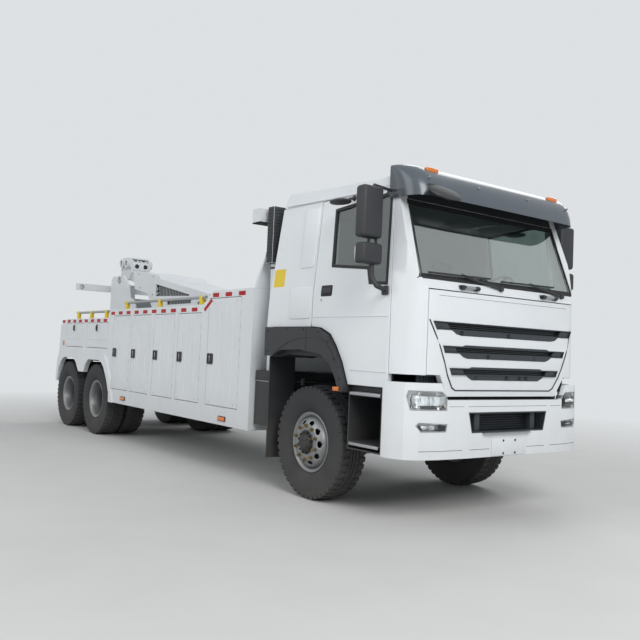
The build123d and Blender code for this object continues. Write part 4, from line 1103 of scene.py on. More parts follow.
bm = bmesh.new()
for top_half, bottom_half, low, high in SLOTS:
    add_step(bm, bottom_half - 0.17, bottom_half - 0.25, low + 0.003, low - 0.045)
for top_half, bottom_half, low, high in SLOTS[1:]:
    add_step(bm, bottom_half - 0.20, bottom_half - 0.225, high - 0.003, high + 0.014)
make_piece("grille_steps", bm, GRAPHITE, "front_panel")

SHIELD = [(-0.99, 1.782), (-0.775, 1.300), (-0.705, 1.195), (-0.66, 1.172), (0.66, 1.172),
          (0.705, 1.195), (0.775, 1.300), (0.99, 1.782)]
bm = bmesh.new()
add_band(bm, SHIELD, 0.010, panel_face, -0.004, 0.0035)
add_band(bm, [(-0.9, 1.995), (0.9, 1.995)], 0.003, panel_face, -0.004, 0.0006)
make_piece("front_panel_seams", bm, SEAL, "front_panel")


# %% [markdown]
# ## Bumper and lamps
# The bumper's outer face is a plan of straight pieces, and the lamps follow it. A
# reflector bowl is half a parabola that is spun about its axis. Sheets of mirror
# and lens fill their outline in upright strips.

# %% Lamp helpers
BUMPER_PLAN = ((1.18, 1.245), (1.26, 1.243), (1.40, 1.19), (1.48, 1.08), (1.52, 0.88),
               (1.54, 0.56), (1.54, 0.0))


def bumper_face(y, z, out):
    """The bumper's outer face at a distance from the middle."""
    x = BUMPER_PLAN[-1][0]
    for (x_a, y_a), (x_b, y_b) in zip(BUMPER_PLAN, BUMPER_PLAN[1:]):
        if y_b <= abs(y) <= y_a:
            x = x_a + (x_b - x_a) * (y_a - abs(y)) / (y_a - y_b)
    return at(x + out, y, z)


def split_sides(points, step=0.05):
    """Adds points along an outline's edges, so that it can follow a curved face."""
    result = []
    for (a0, b0), (a1, b1) in zip(points, points[1:] + points[:1]):
        count = max(1, round(hypot(a1 - a0, b1 - b0) / step))
        result += [(a0 + (a1 - a0) * i / count, b0 + (b1 - b0) * i / count) for i in range(count)]
    return result


HEAD_LAMP = [(0.800, 1.000), (0.800, 1.120), (0.860, 1.165), (1.165, 1.170), (1.180, 1.120),
             (1.150, 1.000)]
FOG_LAMP = [(0.805, 0.815), (0.790, 0.885), (1.090, 0.900), (1.110, 0.870), (1.070, 0.815)]
BOWL_SET_BACK = 0.035
FAN_STRIPS = 14


def add_bowl(bm, y, z, radius, depth):
    """A reflector bowl that opens forwards behind the lens."""
    front = bumper_face(y, z, -BOWL_SET_BACK)
    line = [bm.verts.new(front + Vector((-depth * (1 - share * share), 0, radius * share)))
            for share in (1.0, 0.92, 0.75, 0.5, 0.25, 0.08)]
    edges = [bm.edges.new(pair) for pair in zip(line, line[1:])]
    bottom = Matrix.Translation((line[-1].co.x, y, z)) @ Matrix.Rotation(radians(90), 4, "Y")
    bmesh.ops.spin(bm, geom=line + edges, cent=front, axis=(1, 0, 0), angle=2 * pi, steps=28,
                   use_duplicate=False)
    bmesh.ops.create_circle(bm, cap_ends=True, segments=28, radius=radius * 0.08, matrix=bottom)


def add_fan(bm, points, surface, level):
    """A sheet that fills an outline and follows a curved face, in upright strips."""
    low_a, high_a = min(p[0] for p in points), max(p[0] for p in points)

    def place(column, row):
        """Where a strip's edge crosses the outline: its lowest or highest crossing."""
        a = low_a + (high_a - low_a) * (column + 0.001) / (FAN_STRIPS + 0.002)
        crossings = []
        for (a0, b0), (a1, b1) in zip(points, points[1:] + points[:1]):
            if min(a0, a1) <= a <= max(a0, a1) and a0 != a1:
                crossings.append(b0 + (b1 - b0) * (a - a0) / (a1 - a0))
        return surface(a, max(crossings) if row else min(crossings), level)

    add_grid(bm, FAN_STRIPS, 1, place)


print("bumper reaches", BUMPER_PLAN[-1][0], "m ahead of the axle")

# %% [markdown]
# ## Head and fog lamps
# A head lamp sits in a deep housing: a chromed reflector with two bowls and a
# small indicator bowl, bulbs, a bezel and a clear lens that follows the bumper's
# curve. Fog lamps repeat this in small, with three dark fins beside them. A lens
# that refracts would stop the light on its way in, so it casts no shadow.

# %% Head and fog lamps
reflectors, lenses, housings, bulbs = (bmesh.new() for _ in range(4))
for outline, bowls in (
        (HEAD_LAMP, ((1.05, 1.085, 0.062, 0.05), (0.91, 1.08, 0.058, 0.05),
                     (1.13, 1.135, 0.026, 0.02), (0.985, 1.13, 0.022, 0.02))),
        (FOG_LAMP, ((1.02, 0.858, 0.034, 0.03), (0.93, 0.855, 0.034, 0.03)))):
    add_ring(housings, split_sides(inset(outline, 0.001)), 0.010, bumper_face, -0.07, -0.004)
    add_fan(reflectors, inset(outline, 0.004), bumper_face, -0.058)
    for y, z, radius, depth in bowls:
        add_bowl(reflectors, y, z, radius, depth)
        base = bumper_face(y, z, -BOWL_SET_BACK - depth * 0.9)
        add_rod(bulbs, base, base + Vector((depth * 0.8, 0, 0)), radius * 0.16, radius * 0.12)
    add_fan(lenses, inset(outline, 0.008), bumper_face, -0.006)
fins = bmesh.new()
add_prism(fins, [(0.813, 0.823), (0.801, 0.879), (0.885, 0.883), (0.885, 0.823)],
          bumper_face, -0.02, -0.004)
for z in (0.831, 0.849, 0.867):
    add_prism(fins, [(0.812, z), (0.885, z), (0.885, z + 0.006), (0.812, z + 0.006)],
              bumper_face, -0.005, 0.003, 0.001)
for bm in (reflectors, lenses, housings, bulbs, fins):
    both_sides(bm)
make_piece("lamp_reflectors", reflectors, REFLECTOR, "chassis", smooth=50)
lens = make_piece("lamp_lenses", lenses, LENS, "chassis")
add_solidify(lens, 0.003)
lens.visible_shadow = False
make_piece("lamp_housings", housings, ZINC, "chassis")
make_piece("lamp_bulbs", bulbs, LENS, "chassis")
make_piece("fog_lamp_fins", fins, GRAPHITE, "chassis")

# %% [markdown]
# ## Tail lamps
# A black box on each side holds flat lenses: two red ones, a clear one for
# reversing and an amber one on the outside.

# %% Tail lamps
bm = bmesh.new()
boxed(bm, (-7.850, -7.800), (0.760, 1.170), (0.900, 1.020), 0.01, 3)
both_sides(bm)
tail = make_piece("tail_lamp_boxes", bm, MOULDED, "chassis")
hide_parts("lamps")
# columns: colour, finish, the lens's rear face, its low and high place across the truck
TAIL_LENSES = (("red", RED_LENS, -7.864, ((0.775, 0.865), (0.875, 0.965))),
               ("clear", WHITE_TAPE, -7.862, ((0.975, 1.055),)),
               ("amber", AMBER, -7.864, ((1.065, 1.155),)))
for colour, finish, face_x, places in TAIL_LENSES:
    bm = bmesh.new()
    for place in places:
        boxed(bm, (face_x, -7.846), place, (0.913, 1.007), 0.008, 3)
    both_sides(bm)
    make_piece(f"tail_lamp_{colour}", bm, finish, "chassis")

# %% [markdown]
# ## Air opening, louvres and painted shade in the gap
# The bumper's air opening has a mesh before a dark back, two struts and a rim that
# follows the bumper's curve. Dark louvres fill the corners beside the front panel.
# A dark strip above the bumper and a dark sheet behind the panel's lower edge are
# painted shade, so that the gap between panel and bumper looks evenly dark.

# %% Air opening, louvres and painted shade in the gap
bm = bmesh.new()
boxed(bm, (1.40, 1.405), (-0.56, 0.56), (0.79, 1.0), 0)
for i in range(-20, 21):
    boxed(bm, (1.405, 1.425), (i * 0.027 - 0.0025, i * 0.027 + 0.0025), (0.80, 0.99), 0)
for i in range(9):
    boxed(bm, (1.405, 1.428), (-0.55, 0.55), (0.80 + i * 0.022, 0.804 + i * 0.022), 0)
for y in (-0.39, 0.39):
    boxed(bm, (1.405, 1.4975), (y - 0.033, y + 0.033), (0.785, 0.9985), 0.004)
AIR_EDGE = [(-0.5, 0.8), (0.5, 0.8), (0.545, 0.984), (-0.545, 0.984)]
add_ring(bm, split_sides(AIR_EDGE), 0.012, bumper_face, -0.055, -0.002)
make_piece("air_opening_mesh", bm, GRAPHITE, "chassis")
# Painted shade: a dark strip behind the gap above the bumper, so that the gap looks evenly dark.
bm = bmesh.new()
boxed(bm, (1.455, 1.493), (-0.79, 0.79), (1.05, 1.0945), 0.003)
make_piece("bumper_top_seal", bm, SEAL, "chassis")
bm = bmesh.new()
boxed(bm, (1.375, 1.378), (0.76, 1.002), (1.165, 1.298), 0)
boxed(bm, (1.334, 1.378), (0.999, 1.002), (1.165, 1.298), 0)
for y in (0.80, 0.83, 0.86, 0.89, 0.92, 0.95, 0.98):
    boxed(bm, (1.378, 1.388), (y - 0.004, y + 0.004), (1.17, 1.295), 0)
both_sides(bm)
make_piece("bumper_corner_louvres", bm, GRAPHITE, "cab")
# Painted shade: a dark sheet behind the panel's lower edge darkens the gap from behind.
bm = bmesh.new()
boxed(bm, (1.340, 1.346), (-0.745, 0.745), (1.06, 1.175), 0.001)
make_piece("panel_apron", bm, SEAL, "cab")

# %% [markdown]
# ## Tread plate, bare plate and seams
# A strip of tread plate lies on the lip of the air opening, as a step for cleaning
# the screen. Below it is a bare white plate with four holes, whose insides are
# painted shade as dark discs, and thin dark bands mark where the bumper's parts meet.

# %% Tread plate, bare plate and seams
bm = bmesh.new()
boxed(bm, (1.485, 1.575), (-0.36, 0.28), (0.788, 0.800), 0.003)
for i in range(15):
    for j in range(3):
        boxed(bm, (1.50 + j * 0.025, 1.512 + j * 0.025), (-0.34 + i * 0.041, -0.322 + i * 0.041),
              (0.799, 0.8045), 0.0015, 1)
make_piece("bumper_tread_plate", bm, ALUMINIUM, "chassis")
bm = bmesh.new()
boxed(bm, (1.536, 1.549), (-0.24, 0.24), (0.588, 0.745), 0.004)
make_piece("bare_plate", bm, WHITE, "chassis")
bm = bmesh.new()
# Painted shade: a dark disc fills each of the plate's four holes.
for y in (-0.0815, 0.0815):
    for z in (0.608, 0.723):
        add_rod(bm, at(1.546, y, z), at(1.5502, y, z), 0.0115, segments=16)
for side in (-1, 1):
    add_band(bm, [(side * 0.26, 0.655), (side * 0.88, 0.655), (side * 1.08, 0.655),
                  (side * 1.2, 0.655)], 0.004, bumper_face, -0.004, 0.0006)
add_band(bm, [(-0.78, 1.035), (0.78, 1.035)], 0.003, bumper_face, -0.004, 0.0006)
make_piece("bumper_seams", bm, SEAL, "chassis")


# %% [markdown]
# ## Cab sides
# Each side has two panels behind the door that a press has raised from the sheet,
# and a drip rail along the roof. The right side carries a yellow label, left
# blank.

# %% Cab sides
bm = bmesh.new()
for a, b in (((-0.27, -0.02), (2.31, 2.93)), ((-0.40, -0.02), (1.79, 2.12))):
    add_prism(bm, rounded(a, b, 0.035), cab_side, -0.002, 0.009, 0.006, 3)
both_sides(bm)
make_piece("cab_side_pressings", bm, WHITE, "cab")
bm = bmesh.new()
add_rod(bm, cab_side(-0.62, 3.012, 0.008), cab_side(1.075, 2.965, 0.008), 0.011, segments=10)
both_sides(bm)
make_piece("cab_drip_rails", bm, WHITE, "cab")
bm = bmesh.new()
add_prism(bm, rounded((-0.735, -0.53), (2.135, 2.325), 0.006), cab_side, 0.0005, 0.0012)
flipped(bm, -1)
make_piece("blank_yellow_label", bm, YELLOW, "cab")

# %% [markdown]
# ## Doors
# A door gets a rubber seal round its window, a cup with a paddle to open it, a
# lock and two raised creases that stiffen the sheet. The lining inside has an arm
# rest and a pocket.

# %% Doors
WINDOW = [(0.25, 2.86), (0.285, 2.30), (0.83, 2.245), (0.875, 2.105), (1.115, 2.09),
          (1.06, 2.88), (1.0, 2.915)]
for side, sign in SIDES.items():
    body = f"cab_door_{side}"
    bm = bmesh.new()
    add_ring(bm, inset(WINDOW, -0.012), 0.030, cab_side, -0.022, 0.003)
    add_prism(bm, rounded((0.147, 0.325), (2.006, 2.114), 0.016), cab_side, -0.02, 0.003, 0.002)
    flipped(bm, sign)
    make_piece(f"door_seal_and_cup_{side}", bm, SEAL, body)
    bm = bmesh.new()
    add_prism(bm, rounded((0.158, 0.314), (2.034, 2.088), 0.012), cab_side, 0.002, 0.014, 0.005)
    flipped(bm, sign)
    make_piece(f"door_paddle_{side}", bm, MOULDED, body)
    bm = bmesh.new()
    add_rod(bm, cab_side(0.16, 1.97, -0.002), cab_side(0.16, 1.97, 0.004), 0.011)
    flipped(bm, sign)
    make_piece(f"door_lock_{side}", bm, ZINC, body)
    bm = bmesh.new()
    boxed(bm, (0.30, 1.03), (1.105, 1.128), (1.78, 2.03), 0.008)
    boxed(bm, (0.45, 0.95), (1.065, 1.106), (1.90, 1.94), 0.012)
    boxed(bm, (0.35, 1.0), (1.075, 1.106), (1.62, 1.74), 0.012)
    flipped(bm, sign)
    make_piece(f"door_lining_{side}", bm, TRIM_PLASTIC, body)
    bm = bmesh.new()
    for low_x, high_x, z in ((0.03, 1.150, 1.800), (0.66, 1.150, 1.305)):
        add_prism(bm, [(low_x, z), (high_x, z), (high_x, z + 0.010), (low_x, z + 0.010)],
                  cab_side, -0.002, 0.006, 0.003)
    flipped(bm, sign)
    make_piece(f"door_creases_{side}", bm, WHITE, body)

# %% [markdown]
# ## Door mirrors
# A bent tube on the door's front edge carries a tall mirror and a wide-angle one
# in moulded shells, with a bright glass behind. A round kerb mirror hangs from a
# short arm above the window and looks down.

# %% Mirrors
for side, sign in SIDES.items():
    body = f"cab_door_{side}"
    bm = bmesh.new()
    for x, z, bevel in (((1.012, 1.138), (2.472, 2.928), 0.032),
                        ((1.022, 1.148), (2.242, 2.428), 0.03)):
        boxed(bm, x, (1.268, 1.498), z, bevel, 4)
    kerb = bmesh.ops.create_uvsphere(bm, u_segments=28, v_segments=12, radius=1.0,
                                     matrix=Matrix.Translation(at(0.51, 1.27, 2.885))
                                     @ Matrix.Diagonal((0.13, 0.088, 0.028, 1)))["verts"]
    for vert in kerb:
        vert.co.z = max(vert.co.z, 2.868)
    add_path(bm, [at(1.12, 1.20, 2.03), at(1.13, 1.315, 2.055), at(1.092, 1.345, 2.13),
                  at(1.086, 1.345, 2.25)], 0.022, segments=14)
    add_path(bm, [at(1.055, 1.10, 2.925), at(1.06, 1.14, 2.935), at(1.083, 1.345, 2.945),
                  at(1.085, 1.345, 2.90)], 0.013, segments=12)
    add_path(bm, [at(0.52, 1.105, 2.94), at(0.52, 1.16, 2.93), at(0.515, 1.215, 2.895)], 0.012,
             segments=12)
    boxed(bm, (1.072, 1.15), (1.188, 1.212), (1.985, 2.068), 0.01, 3)
    boxed(bm, (1.095, 1.135), (1.20, 1.235), (2.01, 2.05), 0.01, 3)
    add_rod(bm, at(1.03, 1.098, 2.925), at(1.03, 1.125, 2.925), 0.028)
    add_rod(bm, at(0.52, 1.098, 2.94), at(0.52, 1.122, 2.94), 0.024)
    for y in (1.30, 1.38):
        add_rod(bm, at(1.08, y, 2.42), at(1.078, y, 2.48), 0.014)
    flipped(bm, sign)
    mirrors = make_piece(f"mirror_housings_{side}", bm, MOULDED, body, smooth=45)
    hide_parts(f"door_mirrors_{side}")
    bm = bmesh.new()
    for z in ((2.505, 2.90), (2.262, 2.408)):
        add_prism(bm, rounded((1.29, 1.476), z, 0.022), along_x, 1.006, 1.0125, 0.002)
    flipped(bm, sign)
    make_piece(f"mirror_glass_{side}", bm, CHROME, body)

# %% [markdown]
# ## Front mirror
# A round shell on a bracket hangs before the visor's right corner and looks down
# at the bumper. It is a ball pressed flat and tilted.

# %% Front mirror on the visor
bm = bmesh.new()
bmesh.ops.create_uvsphere(bm, u_segments=32, v_segments=14, radius=1.0,
                          matrix=Matrix.Translation(at(1.535, -0.93, 2.872))
                          @ Matrix.Rotation(radians(38), 4, "Y")
                          @ Matrix.Diagonal((0.115, 0.185, 0.03, 1)))
add_path(bm, [at(1.41, -0.97, 2.935), at(1.455, -0.965, 2.93), at(1.50, -0.95, 2.885)], 0.014,
         segments=12)
boxed(bm, (1.395, 1.425), (-1.005, -0.935), (2.90, 2.965), 0.008, 3)
make_piece("front_mirror", bm, MOULDED, "cab", smooth=45)


# %% [markdown]
# ## Seats and bunk
# Two seats with bolsters and head rests, and a mattress on the bunk, stand where
# the CAD solids are. Foam under cloth has round edges, so each cushion is a box
# with a wide bevel.

# %% Seats and bunk
def add_cushion(bm, x, y, z, turn=None, radius=0.045):
    """A box with the wide round edges of foam under cloth."""
    return boxed(bm, x, y, z, radius, 5, turn)


# columns: name, x, y, z, lean in degrees
SEAT_PARTS = (("seat_cushion", (0.16, 0.655), (0.31, 0.79), (1.72, 1.855), 0),
              ("seat_back", (0.08, 0.215), (0.32, 0.78), (1.83, 2.36), -12),
              ("head_rest", (0.03, 0.125), (0.42, 0.68), (2.37, 2.52), -12))
BOLSTERS = ((0.30, 0.375), (0.725, 0.80))
for side, sign in SIDES.items():
    for name, x, y, z, lean in SEAT_PARTS:
        bm = bmesh.new()
        tilt = Matrix.Rotation(radians(lean), 4, "Y")
        add_cushion(bm, x, y, z, tilt, 0.04)
        if name != "head_rest":
            for bolster in BOLSTERS:
                add_cushion(bm, (x[0] + 0.01, x[1] + (0.03 if lean else 0.0)), bolster,
                            (z[0] + 0.01, z[1] + (0.0 if lean else 0.03)), tilt, 0.03)
        flipped(bm, sign)
        cushion = make_piece(f"{name}_{side}", bm, CLOTH, "cab", smooth=50)
bm = bmesh.new()
add_cushion(bm, (-0.685, -0.125), (-1.045, 1.045), (1.845, 1.955))
mattress = make_piece("bunk_mattress", bm, CLOTH, "cab", smooth=50)

# %% [markdown]
# ## Dashboard and seat bases
# The dashboard is one moulding, drawn as an outline and pulled across the cab,
# with a hooded binnacle, vents, the steering column and three pedals. The seats
# stand on bellows that hide their springs, and the bunk on a plain box.

# %% Seat bases and dashboard
bm = bmesh.new()
boxed(bm, (-0.685, -0.125), (-1.045, 1.045), (1.69, 1.84), 0.01)
for y in (-0.55, 0.55):
    boxed(bm, (0.25, 0.56), (y - 0.185, y + 0.185), (1.512, 1.60), 0.012)
    for i in range(5):
        boxed(bm, (0.265 + i * 0.004, 0.545 - i * 0.004), (y - 0.17, y + 0.17),
              (1.60 + i * 0.022, 1.612 + i * 0.022), 0.004)
    boxed(bm, (0.20, 0.62), (y - 0.21, y + 0.21), (1.70, 1.73), 0.01)
for y in (-0.50, -0.60, 0.50, 0.60):
    add_rod(bm, at(0.075, y, 2.33), at(0.078, y, 2.40), 0.008)
dash = [(1.325, 1.56), (1.325, 2.085), (1.19, 2.112), (1.05, 2.07), (1.0, 2.0), (0.968, 1.90),
        (1.03, 1.78), (1.065, 1.70), (1.12, 1.56)]
add_prism(bm, dash, along_y, -1.04, 1.04, 0.012, 3)
add_prism(bm, [(1.10, 2.09), (0.985, 2.09), (0.955, 2.13), (1.0, 2.165), (1.09, 2.15), (1.16, 2.11)],
          along_y, 0.36, 0.76, 0.012, 3)
add_rod(bm, at(1.04, 0.56, 1.92), at(0.845, 0.56, 2.14), 0.04)
for y in (-0.85, -0.25, 0.15, 0.95):
    boxed(bm, (0.965, 0.99), (y - 0.06, y + 0.06), (1.92, 1.975), 0.006)
for y, z in ((0.44, 1.60), (0.56, 1.62), (0.68, 1.60)):
    boxed(bm, (0.99, 1.01), (y - 0.035, y + 0.035), (z, z + 0.09), 0.008)
    add_rod(bm, at(1.0, y, z + 0.08), at(1.12, y, z + 0.16), 0.01)
dashboard = make_piece("dashboard_and_bases", bm, DASH_PLASTIC, "cab")
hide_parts("cab_interior")
bm = bmesh.new()
for i in range(2):
    add_rod(bm, at(0.968, 0.49 + i * 0.14, 2.12), at(0.962, 0.49 + i * 0.14, 2.122), 0.05,
            segments=28)
make_piece("dashboard_dials", bm, SEAL, "cab")

# %% [markdown]
# ## Steering wheel
# The rim is a small circle spun about the tilted column. Three spokes and a round
# boss join it.

# %% Steering wheel
RIM_R, RIM_HALF = 0.224, 0.0125
bm = bmesh.new()
centre = at(0.822, 0.56, 2.16)
tilt = Vector((-0.22, 0, 0.24)).to_track_quat("Z", "Y").to_matrix().to_4x4()
frame_of_wheel = Matrix.Translation(centre) @ tilt
grip = bmesh.ops.create_circle(bm, segments=12, radius=RIM_HALF,
                               matrix=frame_of_wheel @ Matrix.Translation((RIM_R, 0, 0))
                               @ Matrix.Rotation(radians(90), 4, "X"))["verts"]
edges = list({edge for vert in grip for edge in vert.link_edges})
bmesh.ops.spin(bm, geom=grip + edges, cent=centre, axis=tilt.to_3x3() @ Vector((0, 0, 1)),
               angle=2 * pi, steps=56, use_duplicate=False)
for angle in (90, 210, 330):
    spoke = bmesh.ops.create_cube(bm, size=1, matrix=frame_of_wheel
                                  @ Matrix.Rotation(radians(angle), 4, "Z")
                                  @ Matrix.Translation((0.13, 0, -0.004))
                                  @ Matrix.Diagonal((0.18, 0.036, 0.014, 1)))["verts"]
    bevel_around(bm, spoke, 0.005)
hub = bmesh.ops.create_cone(bm, cap_ends=True, segments=32, radius1=0.062, radius2=0.05,
                            depth=0.04, matrix=frame_of_wheel)["verts"]
bevel_around(bm, hub, 0.006)
wheel = make_piece("steering_wheel_rim", bm, DASH_PLASTIC, "cab", smooth=50)
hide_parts("steering_wheel")


# %% [markdown]
# ## Step treads and side markers
# The step wells carry two aluminium treads with raised ribs, punched from below.
# An amber marker lamp sits on each side.

# %% Treads and side markers
bm = bmesh.new()
for z, low_x, high_x, low_y in ((1.105, 0.70, 1.125, 1.05), (0.648, 0.71, 1.12, 1.05)):
    boxed(bm, (low_x, high_x), (low_y, 1.222), (z, z + 0.006), 0.002)
    boxed(bm, (low_x, high_x), (1.216, 1.223), (z - 0.02, z + 0.006), 0.002)
    for i in range(5):
        for j in range(13):
            x = low_x + 0.02 + j * (high_x - low_x - 0.04) / 12
            y = low_y + 0.02 + i * 0.034
            boxed(bm, (x - 0.009, x + 0.009), (y - 0.004, y + 0.004), (z + 0.005, z + 0.009),
                  0.0015, 1)
both_sides(bm)
make_piece("step_treads", bm, ALUMINIUM, "chassis")
bm = bmesh.new()
boxed(bm, (0.485, 0.565), (1.243, 1.262), (1.105, 1.145), 0.006, 3)
both_sides(bm)
make_piece("cab_side_markers", bm, AMBER, "cab")

# %% [markdown]
# ## Mudguards
# A row of plastic rivets holds each mudguard, a joint shows where its two halves
# meet, and a bead runs round the wheel arch to stiffen its edge.

# %% Rivets, joints and arch beads
bm = bmesh.new()
for x, z in ((-0.70, 1.66), (-0.35, 1.68), (-0.05, 1.68), (0.20, 1.655), (0.36, 1.56),
             (0.47, 1.40), (0.56, 1.22), (-0.70, 1.45)):
    add_rod(bm, at(x, 1.243, z), at(x, 1.250, z), 0.009, segments=12)
add_prism(bm, [(0.0, 1.475), (0.006, 1.475), (0.006, 1.70), (0.0, 1.70)], along_y, 1.24, 1.2465)
both_sides(bm)
make_piece("mudguard_rivets", bm, SEAL, "cab")
bm = bmesh.new()
add_band(bm, [(-0.583, 1.427), (-0.45, 1.505), (-0.305, 1.56), (-0.13, 1.598), (0.05, 1.615),
              (0.18, 1.60), (0.289, 1.567), (0.38, 1.505), (0.46, 1.415), (0.54, 1.325)],
         0.02, along_y, 1.238, 1.250)
both_sides(bm)
make_piece("arch_beads", bm, MOULDED, "cab")


# %% [markdown]
# ## Service body: doors and flaps
# Each locker door has a black paddle latch at its rear edge, with a bright lock in
# it, and plugs over its fixing screws. The two flaps above each arch close with a
# black T-handle. Doors and flaps are listed once, by their edges in the CAD.

# %% Latches, plugs and handles
# columns: name, rear edge x, front edge x, bottom z, top z
SIDE_DOORS = (
    ("1", -2.110, -1.345, 0.775, 2.055), ("2", -2.945, -2.305, 0.775, 1.885),
    ("3", -3.700, -3.060, 0.775, 1.885), ("4", -4.470, -3.830, 0.775, 1.885),
    ("5", -5.200, -4.560, 0.775, 1.885),
)
FLAPS = (("1", -6.400, -5.430, 1.385, 1.785), ("2", -7.480, -6.575, 1.385, 1.785))

for side, sign in SIDES.items():
    for name, rear, front, low, high in SIDE_DOORS:
        door = f"locker_door_{name}_{side}"
        bm = bmesh.new()
        cup = rounded((rear + 0.025, rear + 0.145), (1.262, 1.392), 0.014)
        add_ring(bm, cup, 0.016, along_y, 1.211, 1.2285)
        add_prism(bm, inset(cup, 0.010), along_y, 1.211, 1.2225)
        boxed(bm, (rear + 0.062, rear + 0.108), (1.222, 1.2275), (1.280, 1.374), 0.003, 3)
        flipped(bm, sign)
        make_piece(f"latch_{name}_{side}", bm, MOULDED, door)
        bm = bmesh.new()
        add_rod(bm, at(rear + 0.085, 1.2265, 1.350), at(rear + 0.085, 1.2298, 1.350), 0.013,
                segments=20)
        boxed(bm, (rear + 0.079, rear + 0.091), (1.2265, 1.2285), (1.295, 1.335), 0.001)
        for x in (rear + 0.09, front - 0.09):
            for z in (low + 0.035, high - 0.035):
                add_rod(bm, at(x, 1.2145, z), at(x, 1.2175, z), 0.009, 0.007, segments=16)
        flipped(bm, sign)
        make_piece(f"plugs_{name}_{side}", bm, ZINC, door)
    for name, rear, front, low, high in FLAPS:
        flap = f"rear_flap_{name}_{side}"
        middle_x = (rear + front) / 2
        bm = bmesh.new()
        plate = rounded((middle_x - 0.027, middle_x + 0.027), (1.648, 1.762), 0.01)
        add_prism(bm, plate, along_y, 1.2225, 1.2265, 0.001, 1)
        add_rod(bm, at(middle_x, 1.226, 1.705), at(middle_x, 1.240, 1.705), 0.012, segments=16)
        boxed(bm, (middle_x - 0.009, middle_x + 0.009), (1.236, 1.246), (1.662, 1.748), 0.004, 3)
        flipped(bm, sign)
        make_piece(f"t_handle_{name}_{side}", bm, MOULDED, flap)

# %% [markdown]
# ## Hinges
# A hinge is a row of rolled knuckles on a rod. The doors have theirs at the front
# edge, and the flaps hang from a long one along the top.

# %% Hinge knuckles
KNUCKLE_R, KNUCKLE_Y = 0.0028, 1.2135
bm = bmesh.new()
for _, rear, front, low, high in SIDE_DOORS:
    for i in range(9):
        z = low + 0.03 + (high - low - 0.06) * i / 8
        add_rod(bm, at(front + 0.0035, KNUCKLE_Y, z - 0.03), at(front + 0.0035, KNUCKLE_Y, z + 0.03),
                KNUCKLE_R, segments=10)
for _, rear, front, low, high in FLAPS:
    for i in range(12):
        x = rear + 0.04 + (front - rear - 0.08) * i / 11
        add_rod(bm, at(x - 0.026, KNUCKLE_Y, high + 0.0035), at(x + 0.026, KNUCKLE_Y, high + 0.0035),
                KNUCKLE_R, segments=10)
both_sides(bm)
make_piece("hinge_knuckles", bm, ZINC, "chassis")

# %% [markdown]
# ## Reflective tape and side lamps
# Red and white tape is stuck along the top of the body in blocks, a millimetre
# thick so that it has an edge. One red block slants where the body's top steps
# down. Amber marker lamps sit on black rubber bases below.

# %% Reflective tape and side lamps
# columns: first block x, step between red blocks, red blocks, z
TAPE_RUNS = ((-7.64, 0.294, 8, 1.824), (-5.26, 0.307, 10, 1.932), (-1.95, 0.31, 3, 2.096))
TAPE_HALF_Z = 0.025
blocks = {RED_TAPE: bmesh.new(), WHITE_TAPE: bmesh.new()}
for first, step, count, z in TAPE_RUNS:
    for i in range(count * 2 - 1):
        x = first + i * step / 2
        colour = WHITE_TAPE if i % 2 else RED_TAPE
        add_prism(blocks[colour],
                  rounded((x - 0.076, x + 0.076), (z - TAPE_HALF_Z, z + TAPE_HALF_Z), 0.004, 2),
                  along_y, 1.2145, 1.2157)
slant = [(-2.246, 1.936), (-2.216, 1.898), (-2.030, 2.022), (-2.055, 2.062)]
add_prism(blocks[RED_TAPE], slant, along_y, 1.2145, 1.2157)
for finish, bm in blocks.items():
    both_sides(bm)
    make_piece(finish.name.split("_")[0] + "_tape", bm, finish, "chassis")

MARKERS = ((-4.70, 0.647), (-1.67, 0.635))
bm = bmesh.new()
for x, z in MARKERS:
    boxed(bm, (x - 0.078, x + 0.078), (1.222, 1.236), (z - 0.022, z + 0.022), 0.006, 3)
boxed(bm, (-7.62, -7.56), (1.214, 1.228), (1.395, 1.485), 0.006, 3)
both_sides(bm)
make_piece("body_side_markers", bm, AMBER, "chassis")
bm = bmesh.new()
for x, z in MARKERS:
    add_prism(bm, rounded((x - 0.087, x + 0.087), (z - 0.030, z + 0.030), 0.012), along_y,
              1.214, 1.2235, 0.002)
both_sides(bm)
make_piece("marker_bases", bm, SEAL, "chassis")


# %% [markdown]
# ## Front sheets of the body
# The body's own front walls are bare plate in the CAD. A thin painted sheet on
# each side covers them, because the real body is painted all over.

# %% Front sheets of the body
bm = bmesh.new()
boxed(bm, (-1.0845, -1.0825), (0.522, 1.2135), (0.562, 2.146), 0)
both_sides(bm)
make_piece("body_front_sheets", bm, BODY_WHITE, "chassis")

# %% [markdown]
# ## Deck rails
# Galvanised tube runs through yellow posts. Each post stands on a welded foot
# with two bolts.

# %% Rails and posts
# columns: deck level, rail height, rear x, front x, post places
RAILS = (
    (1.865, 1.975, -7.150, -5.650, (-7.060, -6.420, -5.730)),
    (1.990, 2.090, -4.960, -2.340, (-4.880, -3.700, -2.450)),
)
tubes, posts = bmesh.new(), bmesh.new()
for deck, height, rear, front, places in RAILS:
    add_rod(tubes, at(rear - 0.002, 1.14, height), at(front + 0.002, 1.14, height), 0.0202,
            segments=24)
    for x in places:
        boxed(posts, (x - 0.0275, x + 0.0275), (1.1125, 1.1675), (deck, height + 0.0245), 0.006)
        boxed(posts, (x - 0.055, x + 0.055), (1.095, 1.172), (deck, deck + 0.008), 0.002)
        for dx in (-0.042, 0.042):
            add_rod(posts, at(x + dx, 1.14, deck), at(x + dx, 1.14, deck + 0.016), 0.009,
                    segments=6)
both_sides(tubes)
both_sides(posts)
make_piece("rail_tubes", tubes, ZINC, "chassis")
make_piece("rail_posts", posts, YELLOW, "chassis")

# %% [markdown]
# ## Tread of the locker tops
# The tops of the lockers are aluminium plate, rolled with a raised lozenge tread
# whose lozenges point along and across in turn. A lozenge is a four-sided cone,
# 3 mm high and stretched.

